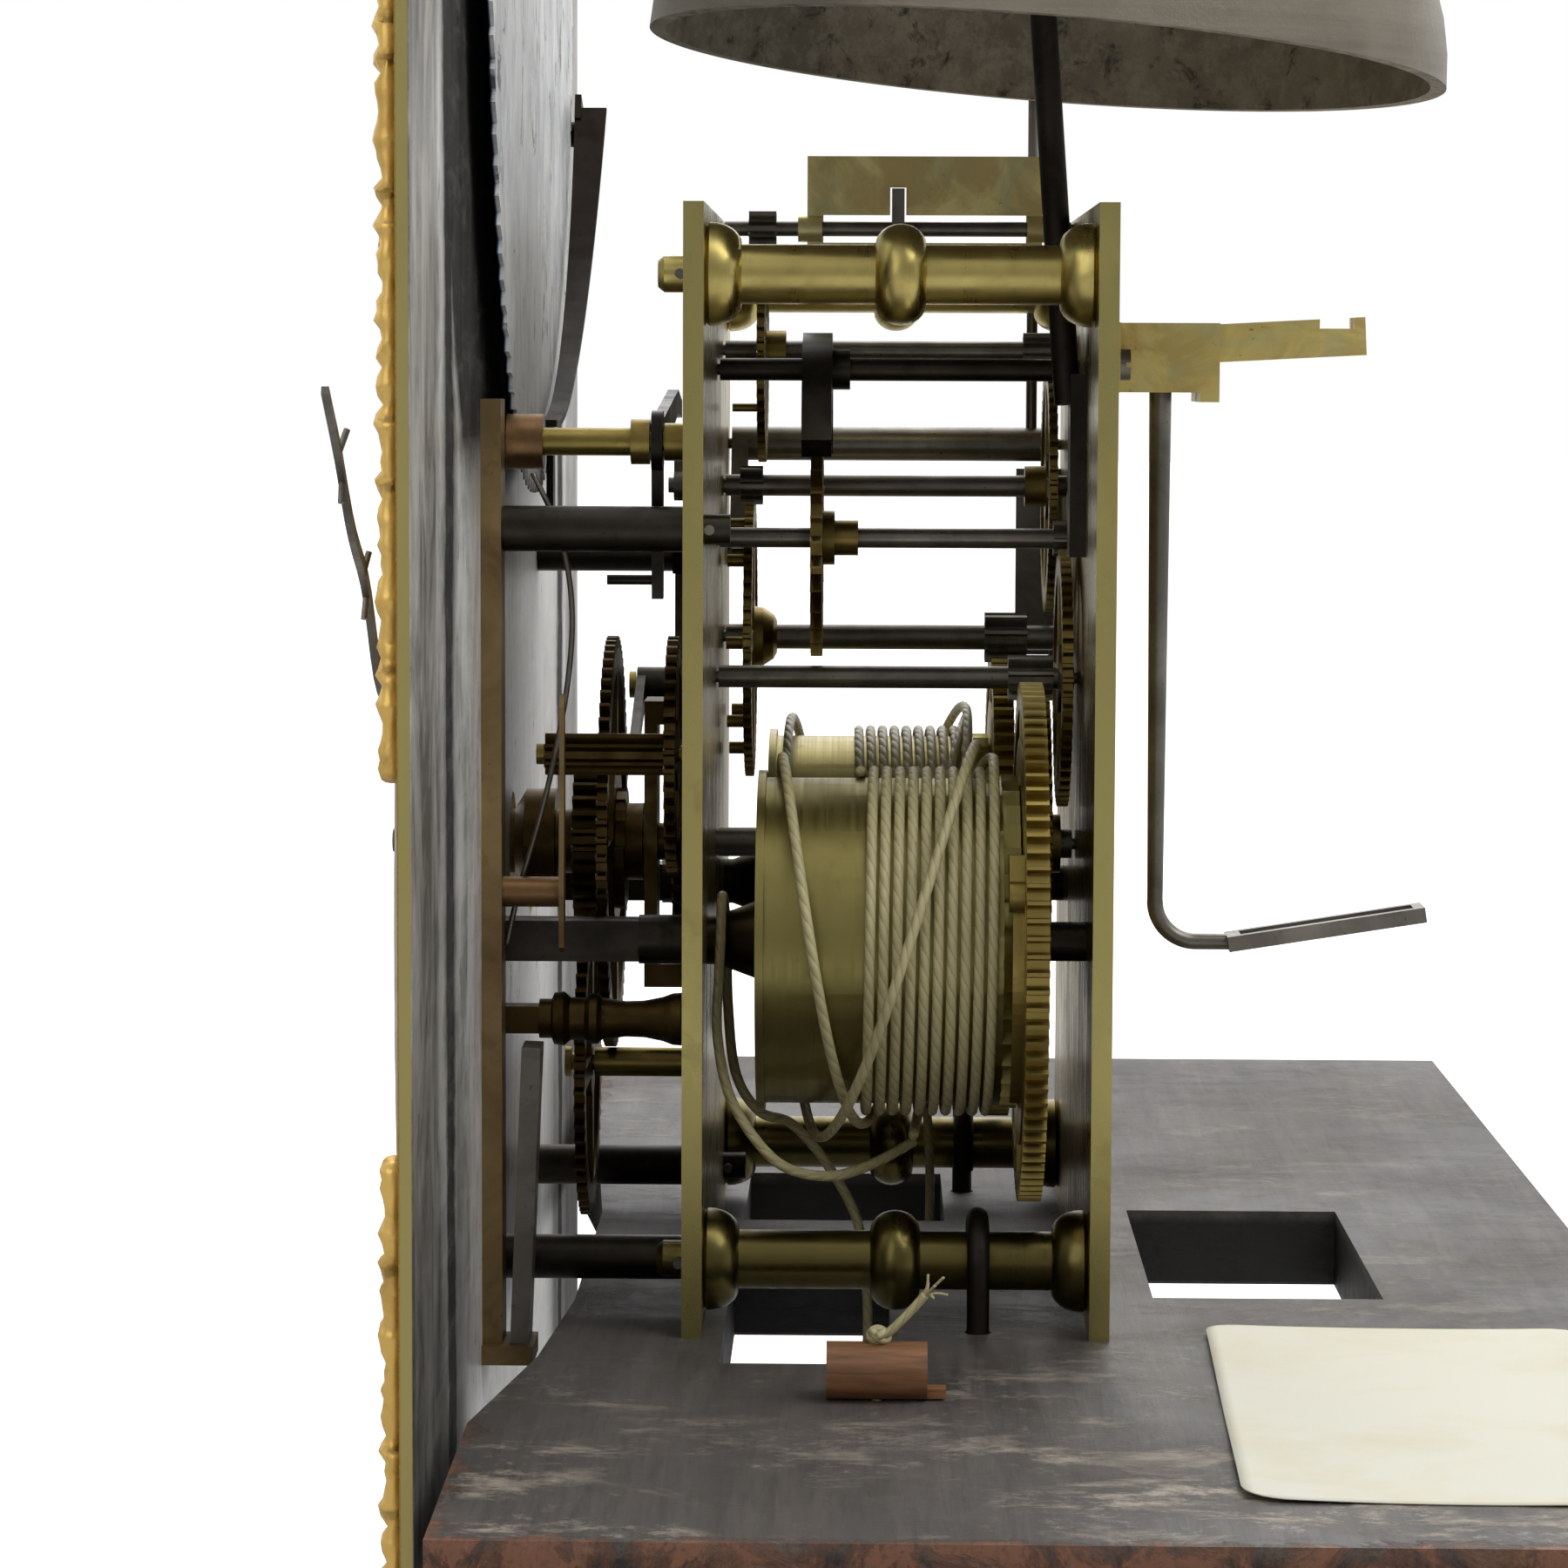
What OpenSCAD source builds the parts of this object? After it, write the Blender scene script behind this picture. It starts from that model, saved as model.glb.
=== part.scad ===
// Eight-day longcase clock movement with two trains and rack striking, on its seatboard with dial and bell
// X runs to the right as seen from the front, the dial looks along -Y and Z is up
// The origin is on the underside of the seatboard, below the middle of the movement

/* [Seatboard] */
// Length of the board, across the case
seat_l = 430; // [400:1:460]
// Middle of the board, from the middle of the movement
seat_x = -17; // [-20:1:10]
// From the middle of the movement to the front edge of the board, near its ends
seat_front = 62.5; // [60:0.5:63]
// Depth of the cut-back in the front edge, behind the dial's strap
seat_notch = 10; // [8:0.5:11]
// From the middle of the movement to the back edge of the board
seat_back = 121; // [110:1:150]
// Thickness of the board
seat_t = 13.5; // [10:0.5:20]
// Length of each rest at the board's ends
rest_l = 22; // [15:1:30]
// Length of the slot for the going line
going_slot_l = 85; // [60:1:90]
// Width of the slot for the going line
going_slot_w = 26.5; // [20:0.5:28]
// Length of the slot for the strike line
strike_slot_l = 49; // [40:1:56]
// Width of the slot for the strike line
strike_slot_w = 36; // [24:1:36]
// Length of the pendulum opening, across the case
pend_slot_l = 80; // [60:1:90]
// Width of the pendulum opening
pend_slot_w = 38; // [30:1:44]
// Middle of the pendulum opening, from the middle of the board
pend_slot_x = -5; // [-14:1:10]

/* [Plates] */
// Width of a plate
plate_w = 140; // [138:1:150]
// Height of a plate
plate_h = 178.5; // [178:0.5:186]
// Thickness of a plate
plate_t = 3.2; // [2.6:0.1:4]
// Clear space between the plates
plate_gap = 61.2; // [60:0.2:66]

/* [Pillars] */
// Pillar axes from the middle
pillar_x = 57; // [56:0.5:60]
// Height of the lower pillars
pillar_low = 10.3; // [9:0.1:12]
// Height of the upper pillars
pillar_high = 167.5; // [166:0.1:169]
// Radius of a pillar's shaft
pillar_r = 4.7; // [4:0.1:5.2]
// Radius of the knop at mid length
knop_r = 8; // [7:0.1:9]
// Radius of the collars at the ends
collar_r = 8.2; // [7:0.1:8.2]
// Radius of the nose through the front plate
nose_r = 2.9; // [2.4:0.1:3.2]
// Length of the nose in front of the front plate
nose_l = 4.4; // [4:0.1:6]
// Radius of the taper pins
pin_r = 0.8; // [0.6:0.05:0.9]

/* [Barrels] */
// Barrel axes from the middle
barrel_x = 43.2; // [42.8:0.1:44]
// Height of the barrel axes above the board
barrel_z = 60.2; // [59:0.1:62]
// Radius of the drum
drum_r = 26.4; // [24:0.1:27]
// Length of the drum between its front flange and its back end
drum_l = 37.9; // [37:0.1:38.4]
// Radius of the front flange
flange_r = 27.6; // [27.2:0.1:31]
// Radius of the arbor where it runs in the front plate
barrel_arbor_r = 4; // [3.6:0.1:4.4]
// Width across the winding square
square_w = 6.6; // [5:0.1:6.8]
// Winding square's end, in front of the dial plate
square_out = 8; // [4:0.5:12]
// Radius of the ratchet
ratchet_r = 27; // [22:0.5:27]
// Teeth of the ratchet
ratchet_n = 36; // [24:1:42]

/* [Going train] */
// Teeth of the great wheel
great_n = 96; // [96:2:98]
// Module of the great wheel
great_m = 0.86; // [0.856:0.001:0.864]
// Leaves of the pinions of eight
pinion_n = 8; // [8:1:8]
// Teeth of the centre wheel
centre_n = 60; // [60:1:60]
// Module of the centre wheel
centre_m = 0.8515; // [0.84:0.0005:0.86]
// Teeth of the third wheel
third_n = 56; // [56:1:56]
// Module of the third wheel
third_m = 0.7556; // [0.75:0.0005:0.76]
// Leaves of the pinions of seven
small_n = 7; // [7:1:7]
// Direction of the third arbor from the centre arbor, in degrees
third_dir = 82.5; // [81:0.1:84]
// Thickness of the train wheels
wheel_t = 1.8; // [1.4:0.1:1.9]
// Thickness of the great wheels
great_t = 3.6; // [2.8:0.1:3.6]
// Radius of the train arbors
arbor_r = 1.9; // [1.6:0.1:2.1]
// Radius of the train pivots
pivot_r = 1; // [0.7:0.05:1.2]

/* [Strike train] */
// Teeth of the strike great wheel
strike_n = 84; // [84:1:84]
// Module of the strike great wheel
strike_m = 0.98; // [0.976:0.001:0.984]
// Teeth of the pin wheel
pin_n = 64; // [64:1:64]
// Module of the pin wheel
pin_m = 0.76; // [0.752:0.001:0.764]
// Hammer-lifting pins
lift_pins = 8; // [6:1:10]
// Radius of the circle of lifting pins
lift_circle = 20; // [18:0.5:20]
// Teeth of the gathering wheel
gather_n = 56; // [56:1:56]
// Module of the gathering wheel
gather_m = 0.77; // [0.764:0.001:0.774]
// Teeth of the warning wheel
warn_n = 50; // [50:1:50]
// Module of the warning wheel
warn_m = 0.76; // [0.754:0.001:0.764]
// Direction of the pin wheel arbor from the strike barrel, in degrees
pin_dir = 82.6; // [82:0.1:83]
// Direction of the gathering arbor from the pin wheel arbor, in degrees
gather_dir = 82; // [81:0.1:83]
// Direction of the warning arbor from the gathering arbor, in degrees
warn_dir = 80.3; // [79:0.1:81]
// Direction of the fly arbor from the warning arbor, in degrees
fly_dir = 77; // [75:0.1:78]
// Length of the fly
fly_l = 41; // [36:0.5:42]
// Half the width of the fly
fly_half = 12.6; // [10:0.1:12.8]
// Thickness of the fly
fly_t = 0.9; // [0.7:0.05:1.2]

/* [Escapement] */
// Teeth of the escape wheel
escape_n = 30; // [30:1:30]
// Radius of the escape wheel
escape_r = 20.2; // [19.6:0.1:20.4]
// Front face of the escape wheel, from the middle of the movement
escape_y = -14.6; // [-16:0.1:-13]
// Thickness of the anchor
anchor_t = 5; // [4:0.1:6]
// Thickness of a pallet at its tip
nib_t = 1; // [0.8:0.05:1.1]
// Clearance of the pallets over the tooth tips at mid swing
nib_gap = 0.12; // [0.1:0.01:0.2]

/* [Crutch and back cock] */
// From the pallet arbor down to the fork
crutch_l = 97.5; // [90:0.5:100]
// Radius of the crutch rod
crutch_r = 1.4; // [1.2:0.05:1.6]
// Length of the fork
fork_l = 34; // [30:0.5:36]
// Gap of the fork round the pendulum rod
fork_gap = 4.8; // [4.6:0.1:6]
// Reach of the cock from the back plate to its pivot plate
cock_reach = 16.8; // [15:0.1:20]
// Thickness of the cock's pivot plate
cock_t = 3.2; // [2.8:0.1:5]
// Half the width of the cock over its legs
cock_half = 11; // [10.5:0.5:12]
// Length of the arm that holds the pendulum
arm_l = 25.3; // [22:0.1:28]

/* [Hammer and bell] */
// Radius of the bell at its mouth
bell_r = 65.5; // [64:0.1:65.6]
// Height of the bell
bell_h = 54; // [50:0.5:58]
// Thickness of the bell's wall
bell_wall = 2.6; // [2.2:0.1:4]
// Height of the bell's mouth above the board
bell_z = 203.2; // [202:0.1:207]
// Middle of the bell, to the right of the movement's middle
bell_x = 20; // [19.5:0.1:20.4]
// Middle of the bell, behind the middle of the movement
bell_y = 24; // [22:0.1:25]
// Radius of the bell stand's rod
stand_r = 2.2; // [1.9:0.05:2.6]
// Hammer arbor, to the left of the movement's middle
hammer_x = 65; // [64.6:0.1:65.5]
// Height of the hammer arbor above the board
hammer_z = 138.9; // [138:0.1:140]
// Radius of the hammer arbor
hammer_r = 3.1; // [2.6:0.1:3.2]
// Rest clearance from the hammer head to the bell
hammer_gap = 1.5; // [1.2:0.1:2.5]
// Radius of the hammer head
head_r = 6; // [5:0.1:6.5]

/* [Motion work] */
// Teeth of the cannon and minute wheels
minute_n = 40; // [40:1:40]
// Module of the cannon and minute wheels
minute_m = 0.93; // [0.92:0.001:0.935]
// Teeth of the hour wheel
hour_n = 72; // [72:1:72]
// Leaves of the minute pinion
minute_leaves = 6; // [6:1:6]
// Teeth of the date gear on the hour pipe
date_drive_n = 28; // [28:1:28]
// Module of the date gears
date_m = 0.9095; // [0.9:0.0005:0.92]
// Direction of the minute wheel from the centre arbor, in degrees
minute_dir = 28.4; // [27:0.1:30]
// Radius of the cannon pipe
cannon_r = 3.2; // [2.9:0.05:3.4]
// Wall of the bridge pipe and of the hour pipe
pipe_wall = 1.1; // [0.9:0.05:1.2]

/* [Dial] */
// Width of the dial plate
dial_w = 356; // [350:1:360]
// Thickness of the dial plate
dial_t = 2; // [1.6:0.1:3]
// From the middle of the movement to the back of the dial plate
dial_y = 65.6; // [65.5:0.1:67]
// Radius of the arch
arch_r = 120; // [116:1:126]
// Outer radius of the chapter ring
ring_r = 166; // [160:1:168]
// Width of the chapter ring
ring_w = 44; // [36:1:48]
// Thickness of the chapter ring
ring_t = 1.6; // [1.2:0.1:2]
// Relief of the corner spandrels
spandrel_t = 3.4; // [3:0.1:4.5]
// Radius of the moon disc
moon_r = 96; // [92:0.5:96]
// From the top of the dial's square down to the middle of the moon disc
moon_drop = 22.3; // [20:0.1:22.4]
// Teeth of the moon disc
moon_n = 118; // [118:1:118]
// Radius of the dial feet
foot_r = 3.6; // [3:0.1:3.8]
// Radius of the dial feet's tenons in the front plate
tenon_r = 2.4; // [2:0.1:2.6]

/* [Hands] */
// Length of the minute hand
minute_l = 150; // [140:1:155]
// Length of the hour hand
hour_l = 104; // [90:1:112]
// Length of the seconds hand
second_l = 26; // [20:0.5:28]
// Minutes past the hour that the hands show
minutes = 9.8; // [0:0.1:59.9]
// Hour that the hands show
hours = 10; // [1:1:12]

/* [Strike levers] */
// Rack stud, to the left of the movement's middle
rack_x = 40; // [39:0.1:41]
// Height of the rack stud above the board
rack_z = 96; // [95.5:0.1:97]
// Clearance from the rack's teeth to the gathering pallet
rack_gap = 0.4; // [0.35:0.05:0.6]
// Length of the gathering pallet
gather_l = 5; // [4:0.1:5.2]
// Thickness of the steel levers
lever_t = 1.8; // [1.4:0.1:2]
// Lifting piece stud, to the right of the movement's middle
lifter_x = 52; // [51:0.1:53]
// Height of the lifting piece stud above the board
lifter_z = 141; // [140.5:0.1:142]

/* [Line] */
// Diameter of the gut line
line_d = 1.7; // [1.5:0.05:1.7]
// Pitch of the turns on the barrels
line_pitch = 2.15; // [2.15:0.01:2.2]
// Neat turns on the going barrel
going_turns = 10; // [6:1:10]
// Neat turns on the strike barrel
strike_turns = 9; // [6:1:9]

/* [Fits] */
// Radial clearance of turning pieces
fit = 0.05; // [0.03:0.01:0.08]
// Radial clearance of fixed pieces in their holes
snug = 0.02; // [0.01:0.01:0.03]

/* [Hidden] */
$fn = 48;

// Faces of the plates and the dial
back_in = plate_gap / 2;
back_out = back_in + plate_t;
front_in = -back_in;
front_out = -back_out;
dial_back = -dial_y;
dial_front = dial_back - dial_t;

// Tooth shape, as shares of the pitch and of the module
tooth_share = 0.43;
leaf_share = 0.32;
wheel_add = 0.95;
wheel_ded = 1.25;
leaf_add = 0.6;
leaf_ded = 1.5;

// Distance between the axes of two gears
function mesh(n1, n2, m) = m * (n1 + n2) / 2;
function step(p, d, a) = [p[0] + d * cos(a), p[1] + d * sin(a)];
function heading(p, q) = atan2(q[1] - p[1], q[0] - p[0]);
// Angle that puts a space of an n-toothed gear where its mate has a tooth
function space_at(p, q, n) = heading(p, q) + 180 / n;

// Axes of the going train, as [x, z] above the board
going = [barrel_x, barrel_z];
centre = [0, barrel_z + sqrt(pow(mesh(great_n, pinion_n, great_m), 2) - barrel_x * barrel_x)];
third = step(centre, mesh(centre_n, pinion_n, centre_m), third_dir);
escape = [0, third[1] + sqrt(pow(mesh(third_n, small_n, third_m), 2) - third[0] * third[0])];
pallet = [0, escape[1] + escape_r * sqrt(2)];

// Axes of the strike train
strike = [-barrel_x, barrel_z];
pinw = step(strike, mesh(strike_n, pinion_n, strike_m), pin_dir);
gather = step(pinw, mesh(pin_n, pinion_n, pin_m), gather_dir);
warn = step(gather, mesh(gather_n, small_n, gather_m), warn_dir);
fly = step(warn, mesh(warn_n, small_n, warn_m), fly_dir);
hammer_at = [-hammer_x, hammer_z];

// Axes of the motion work and of the strike levers
motion_d = minute_n * minute_m;
hour_m = 2 * motion_d / (hour_n + minute_leaves);
minute_at = step(centre, motion_d, minute_dir);
date_n = 2 * date_drive_n;
date_at = [0, centre[1] - mesh(date_n, date_drive_n, date_m)];
rack_at = [-rack_x, rack_z];
lifter_at = [lifter_x, lifter_z];
moon_at = [0, centre[1] + dial_w / 2 - moon_drop];

// Planes of the wheels along Y
great_y = back_in - 10.8;
strike_y = great_y - 2.6;
centre_y = back_in - 6.4;
third_y = back_in - 3.2;
gather_y = back_in - 4.2;
pin_y = front_in + 4;
warn_y = front_in + 6.3;
cannon_y = front_out - 3.8;
bridge_y = front_out - 9;
bridge_t = 2.2;
hour_y = bridge_y - 6.6;
drive_y = hour_y - 5.4;
date_y = drive_y + 1.2;
lever_y = front_out - 3.8;
drum_gap = 3;
drum_front = great_y - drum_gap - drum_l;
pivot_end = 0.4;

// Pipes round the centre arbor
bridge_r = cannon_r + fit + pipe_wall;
hour_r = bridge_r + fit + pipe_wall;
hour_hand_y = dial_front - 10.2;
minute_hand_y = dial_front - 15.6;
hand_t = 1.1;

// Line on the barrels
line_r = line_d / 2;
rings = 24;
wind_r = (drum_r + line_r + 0.05) / cos(180 / rings);
lay = line_d + 0.5;

// Places an axis at [x, z] above the board
module at(p) {
    translate([p[0], 0, seat_t + p[1]]) children();
}

// Extrudes an outline drawn in X and Z from y0 to y1
module slab(y0, y1) {
    translate([0, y1, 0]) rotate([90, 0, 0]) linear_extrude(y1 - y0) children();
}

// Turned rod along Y
module rod(y0, y1, r) {
    translate([0, y0, 0]) rotate([-90, 0, 0]) cylinder(h = y1 - y0, r = r);
}

// Cone along Y
module taper(y0, y1, r0, r1) {
    translate([0, y0, 0]) rotate([-90, 0, 0]) cylinder(h = y1 - y0, r1 = r0, r2 = r1);
}

// Turned piece along Y, from a profile of radius and length
module turned(y0) {
    translate([0, y0, 0]) rotate([-90, 0, 0]) rotate_extrude() children();
}

// Straight rod from one point to another
module strut(a, b, r) {
    d = b - a;
    translate(a) rotate([0, acos(d[2] / norm(d)), atan2(d[1], d[0])]) cylinder(h = norm(d), r = r);
}

// Gear outline with straight-sided teeth, one of them at the given angle
module gear(n, m, share, add, ded, root, turn = 0) {
    r = n * m / 2;
    half = share * 180 / n;
    flanks = [[r - ded * m, -half * root], [r, -half], [r + add * m, -half / 2],
              [r + add * m, half / 2], [r, half], [r - ded * m, half * root]];
    polygon([for (i = [0 : n - 1], f = flanks)
        let (a = turn + i * 360 / n + f[1]) [f[0] * cos(a), f[0] * sin(a)]]);
}

module wheel_teeth(n, m, turn = 0) {
    gear(n, m, tooth_share, wheel_add, wheel_ded, 1.15, turn);
}

module leaves(n, m, turn = 0, ded = leaf_ded) {
    gear(n, m, leaf_share, leaf_add, ded, 1, turn);
}

// Openings between four arms
module crossings(r_hub, r_rim, arm) {
    difference() {
        circle(r = r_rim);
        circle(r = r_hub);
        square([2 * r_rim, arm], center = true);
        square([arm, 2 * r_rim], center = true);
    }
}

// Crossed-out wheel from y0 to y0 + t
module train_wheel(n, m, y0, t, hub, bore, turn = 0) {
    slab(y0, y0 + t) difference() {
        wheel_teeth(n, m, turn);
        crossings(hub, n * m / 2 - wheel_ded * m - 2.6, 3.2);
        circle(r = bore);
    }
}

// Brass collet that a wheel is riveted to
module collet(y0, y1, r, bore) {
    difference() {
        rod(y0, y1, r);
        rod(y0 - 1, y1 + 1, bore);
    }
}

// Train arbor with a pivot in each plate
module train_arbor(r, p) {
    rod(front_in + 0.4, back_in - 0.4, r);
    rod(front_out + pivot_end, front_in + 1, p);
    rod(back_in - 1, back_out - pivot_end, p);
}

// Bore through a plate
module bore(y0, p, r) {
    at(p) rod(y0 - 1, y0 + plate_t + 1, r);
}

// Seatboard and what holds the movement on it

hook_y = 13.2;
hook_r = 1.8;
hook_bend = pillar_r + 0.25 + hook_r;
nut_h = 4;

module seat_hole(x, y, l, w) {
    translate([x - l / 2, y - w / 2, -1]) cube([l, w, seat_t + 2]);
}

// Plank whose front edge is cut back behind the dial's strap
module seat_outline() {
    left = seat_x - seat_l / 2;
    right = seat_x + seat_l / 2;
    inner = seat_notch - seat_front;
    slope = 0.7 * seat_notch - seat_front;
    polygon([[left, seat_back], [left, -seat_front], [-130, -seat_front], [-84, slope], [-40, inner],
        [40, inner], [84, slope], [130, -seat_front], [right, -seat_front], [right, seat_back]]);
}

module seatboard() {
    color("dimgray") difference() {
        linear_extrude(seat_t) seat_outline();
        seat_hole(pillar_x - 11.5, -14, going_slot_l, going_slot_w);
        seat_hole(-pillar_x - 0.5, -8.5, strike_slot_l, strike_slot_w);
        for (x = [seat_x - seat_l / 2 - 1, seat_x + seat_l / 2 - rest_l])
            translate([x, -seat_front - 1, -1]) cube([rest_l + 1, seat_front + seat_back + 2, 2]);
        seat_hole(pend_slot_x, back_out + 28, pend_slot_l, pend_slot_w);
        for (s = [-1, 1])
            translate([s * (pillar_x + hook_bend), hook_y, -1]) cylinder(h = seat_t + 2, r = hook_r + 0.3);
        translate([peg_at[0], peg_at[1], -1]) cylinder(h = seat_t + 2, r = line_d);
    }
}

// Hook bolts over the lower pillars, with washers and nuts under the board
module seat_hooks() {
    color([0.16, 0.15, 0.14]) for (s = [-1, 1])
        translate([s * pillar_x, hook_y, seat_t + pillar_low]) {
            rotate([90, 0, 0]) rotate_extrude(angle = 180) translate([hook_bend, 0]) circle(r = hook_r);
            translate([s * hook_bend, 0, -seat_t - pillar_low - nut_h - 5])
                cylinder(h = seat_t + pillar_low + nut_h + 5, r = hook_r);
            translate([-s * hook_bend, 0, -4]) cylinder(h = 4, r = hook_r);
            translate([s * hook_bend, 0, -seat_t - pillar_low]) {
                translate([0, 0, -1.2]) collar(1.2, 6.5, hook_r + snug, 48);
                translate([0, 0, -1.2 - nut_h]) collar(nut_h, 4.6, hook_r + snug, 6);
            }
        }
}

// Washer or nut round a bolt
module collar(h, r, hole, sides) {
    difference() {
        cylinder(h = h, r = r, $fn = sides);
        translate([0, 0, -1]) cylinder(h = h + 2, r = hole);
    }
}

// Plates

strap_x = 62;
feet = [[44, 8], [-44, 8], [strap_x, 127.5], [-strap_x, 119]];
posts = [for (x = [-pillar_x, pillar_x], z = [pillar_low, pillar_high]) [x, z]];
post_r = 2.2;
date_post_at = [46, 47.5];
bridge_half = 24.5;

module plate(y0) {
    translate([-plate_w / 2, y0, seat_t]) cube([plate_w, plate_t, plate_h]);
}

module front_plate() {
    color("goldenrod") difference() {
        plate(front_out);
        for (p = posts) bore(front_out, p, nose_r + snug);
        for (p = feet) bore(front_out, p, tenon_r + snug);
        for (p = [going, strike]) bore(front_out, p, barrel_arbor_r + fit);
        bore(front_out, centre, arbor_r + 0.5 + fit);
        bore(front_out, escape, pivot_r + 0.4 + fit);
        bore(front_out, gather, pivot_r + 0.4 + fit);
        for (p = [third, pallet, pinw, warn, fly, hammer_at]) bore(front_out, p, pivot_r + fit);
        for (p = [minute_at, date_at, rack_at, lifter_at, date_post_at]) bore(front_out, p, 1.5 + snug);
    }
}

module back_plate() {
    color("goldenrod") difference() {
        plate(back_in);
        for (p = posts) bore(back_in, p, nose_r + snug);
        for (p = [going, strike]) bore(back_in, p, barrel_arbor_r - 0.8 + fit);
        for (p = [centre, third, escape, pinw, gather, warn, fly, hammer_at]) bore(back_in, p, pivot_r + fit);
        bore(back_in, pallet, 6);
        for (s = [-1, 1]) bore(back_in, [s * ear_x, pallet[1] + 1], 1.4 + snug);
        bore(back_in, stand_screw_at, 1.6 + snug);
        bore(back_in, spring_screw_at, 1.2 + snug);
    }
}

// Pillar turned with collars and a knop, riveted at the back and pinned in front
module pillar() {
    half = plate_gap / 2;
    knop = [for (a = [-90 : 15 : 90]) [pillar_r + (knop_r - pillar_r) * cos(a), half + 4 * sin(a)]];
    low = [for (a = [0 : 15 : 90]) [pillar_r + (collar_r - pillar_r) * cos(a), 0.6 + 5 * sin(a)]];
    high = [for (a = [90 : -15 : 0])
        [pillar_r + (collar_r - pillar_r) * cos(a), 2 * half - 0.6 - 5 * sin(a)]];
    difference() {
        union() {
            turned(front_in) polygon(concat(
                [[0, 0], [collar_r - 0.5, 0]], low, knop, high, [[collar_r - 0.5, 2 * half], [0, 2 * half]]));
            rod(front_out - nose_l + 1, front_in + 1, nose_r);
            taper(front_out - nose_l, front_out - nose_l + 1, nose_r - 0.8, nose_r);
            rod(back_in - 1, back_out, nose_r);
        }
        translate([-collar_r, front_out - pin_r - snug, 0]) rotate([0, 90, 0])
            cylinder(h = 2 * collar_r, r = pin_r + snug);
    }
}

module pillars() {
    color("darkgoldenrod") for (p = posts) at(p) pillar();
}

// Rod across a nose or a tenon
module cross_pin(y, r, l) {
    translate([-l / 2, y, 0]) rotate([0, 90, 0]) cylinder(h = l, r = r);
}

// Pins through the pillar noses and the dial feet
module taper_pins() {
    color("silver") {
        for (p = posts) at(p) cross_pin(front_out - pin_r - snug, pin_r, 10);
        for (p = feet) at(p) cross_pin(front_in + pin_r + snug, pin_r, 8);
    }
}

// Back cock with two legs, a pivot plate and a notched arm for the pendulum
cock_back = back_out + cock_reach;
cock_low = -5.2;
cock_high = 8;
leg_low = -3.6;
arm_half = 4;
leg_w = 4;
ear_t = 3;
ear_w = 7.4;
ear_x = cock_half + 3.8;

module back_cock() {
    color("goldenrod") at(pallet) difference() {
        union() {
            translate([-cock_half, cock_back, cock_low]) cube([2 * cock_half, cock_t, cock_high - cock_low]);
            for (s = [-1, 1]) {
                translate([s > 0 ? cock_half - leg_w : -cock_half, back_out, leg_low])
                    cube([leg_w, cock_reach + 1, cock_high - leg_low]);
                translate([s > 0 ? cock_half - 1 : -cock_half - ear_w, back_out, leg_low])
                    cube([ear_w + 1, ear_t, cock_high - leg_low]);
            }
            translate([-arm_half, cock_back + cock_t - 1, 1.4]) rotate([3, 0, 0])
                cube([2 * arm_half, arm_l + 1, 6.4]);
        }
        rod(cock_back - 1, cock_back + cock_t + 1, pivot_r + fit);
        for (s = [-1, 1]) translate([s * ear_x, 0, 1]) rod(back_out - 1, back_out + ear_t + 1, 1.4 + snug);
        translate([-arm_half - 1, cock_back + cock_t + arm_l - 8, 7.2]) cube([2 * arm_half + 2, 5.8, 8]);
        translate([-0.6, cock_back + cock_t + arm_l - 5.4, -4]) cube([1.2, 9, 16]);
    }
}

// Slotted screw along Y, with its head at y0 + l and its shank towards -Y
module screw(y0, l, r, head, head_h, dir = 1) {
    scale([1, dir, 1]) difference() {
        union() {
            rod(y0, y0 + l, r);
            rod(y0 + l, y0 + l + head_h, head);
        }
        translate([-head - 1, y0 + l + head_h - 0.8, -0.4]) cube([2 * head + 2, 2, 0.8]);
    }
}

module cock_screws() {
    color("dimgray") {
        for (s = [-1, 1]) at([s * ear_x, pallet[1] + 1])
            screw(back_in + 0.4, plate_t + ear_t - 0.4, 1.4, 2.6, 1.8);
        at(stand_screw_at) screw(back_in - stand_t, plate_t + stand_t, 1.6, 3, 1.6);
        at(spring_screw_at) screw(back_in - 3, plate_t + 3, 1.2, 2.2, 1.2);
    }
}

// Bell and its stand on the back plate

stand_x = bell_x + 5;
stand_t = 2.5;
stand_w = 9;
stand_low = 122;
stand_high = 152;
stand_screw_at = [stand_x, 145];
bell_tilt = [-4.5, -2.4, 0];
bell_mid = [bell_x, bell_y, bell_z];
bell_level = cos(bell_tilt[0]);
bell_axis = [bell_level * sin(bell_tilt[1]), -sin(bell_tilt[0]), bell_level * cos(bell_tilt[1])];

stand_foot = [stand_x, back_in - stand_r - 0.6, stand_high - 5];
stand_knee = bell_mid + 0.35 * (bell_mid - stand_foot);
stand_neck = bell_mid + bell_axis * (bell_h - 12);

module bell_stand() {
    color([0.32, 0.3, 0.28]) translate([0, 0, seat_t]) {
        difference() {
            translate([stand_x - stand_w / 2, back_in - stand_t, stand_low])
                cube([stand_w, stand_t, stand_high - stand_low]);
            translate([stand_x, 0, stand_screw_at[1]]) rod(back_in - stand_t - 1, back_in + 1, 1.6 + snug);
        }
        strut(stand_foot, stand_knee, stand_r);
        translate(stand_knee) sphere(r = stand_r + 0.2);
        strut(stand_knee, stand_neck, stand_r - 0.1);
        translate(stand_neck) sphere(r = stand_r + 0.1);
        strut(stand_neck, bell_mid + bell_axis * (bell_h + 8), stand_r - 0.2);
        translate(bell_mid) rotate(bell_tilt) {
            translate([0, 0, bell_h + 0.1]) cylinder(h = 4, r = 5.2, $fn = 6);
            translate([0, 0, bell_h - bell_wall - 3.6]) cylinder(h = 3, r = 5);
        }
    }
}

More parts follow.
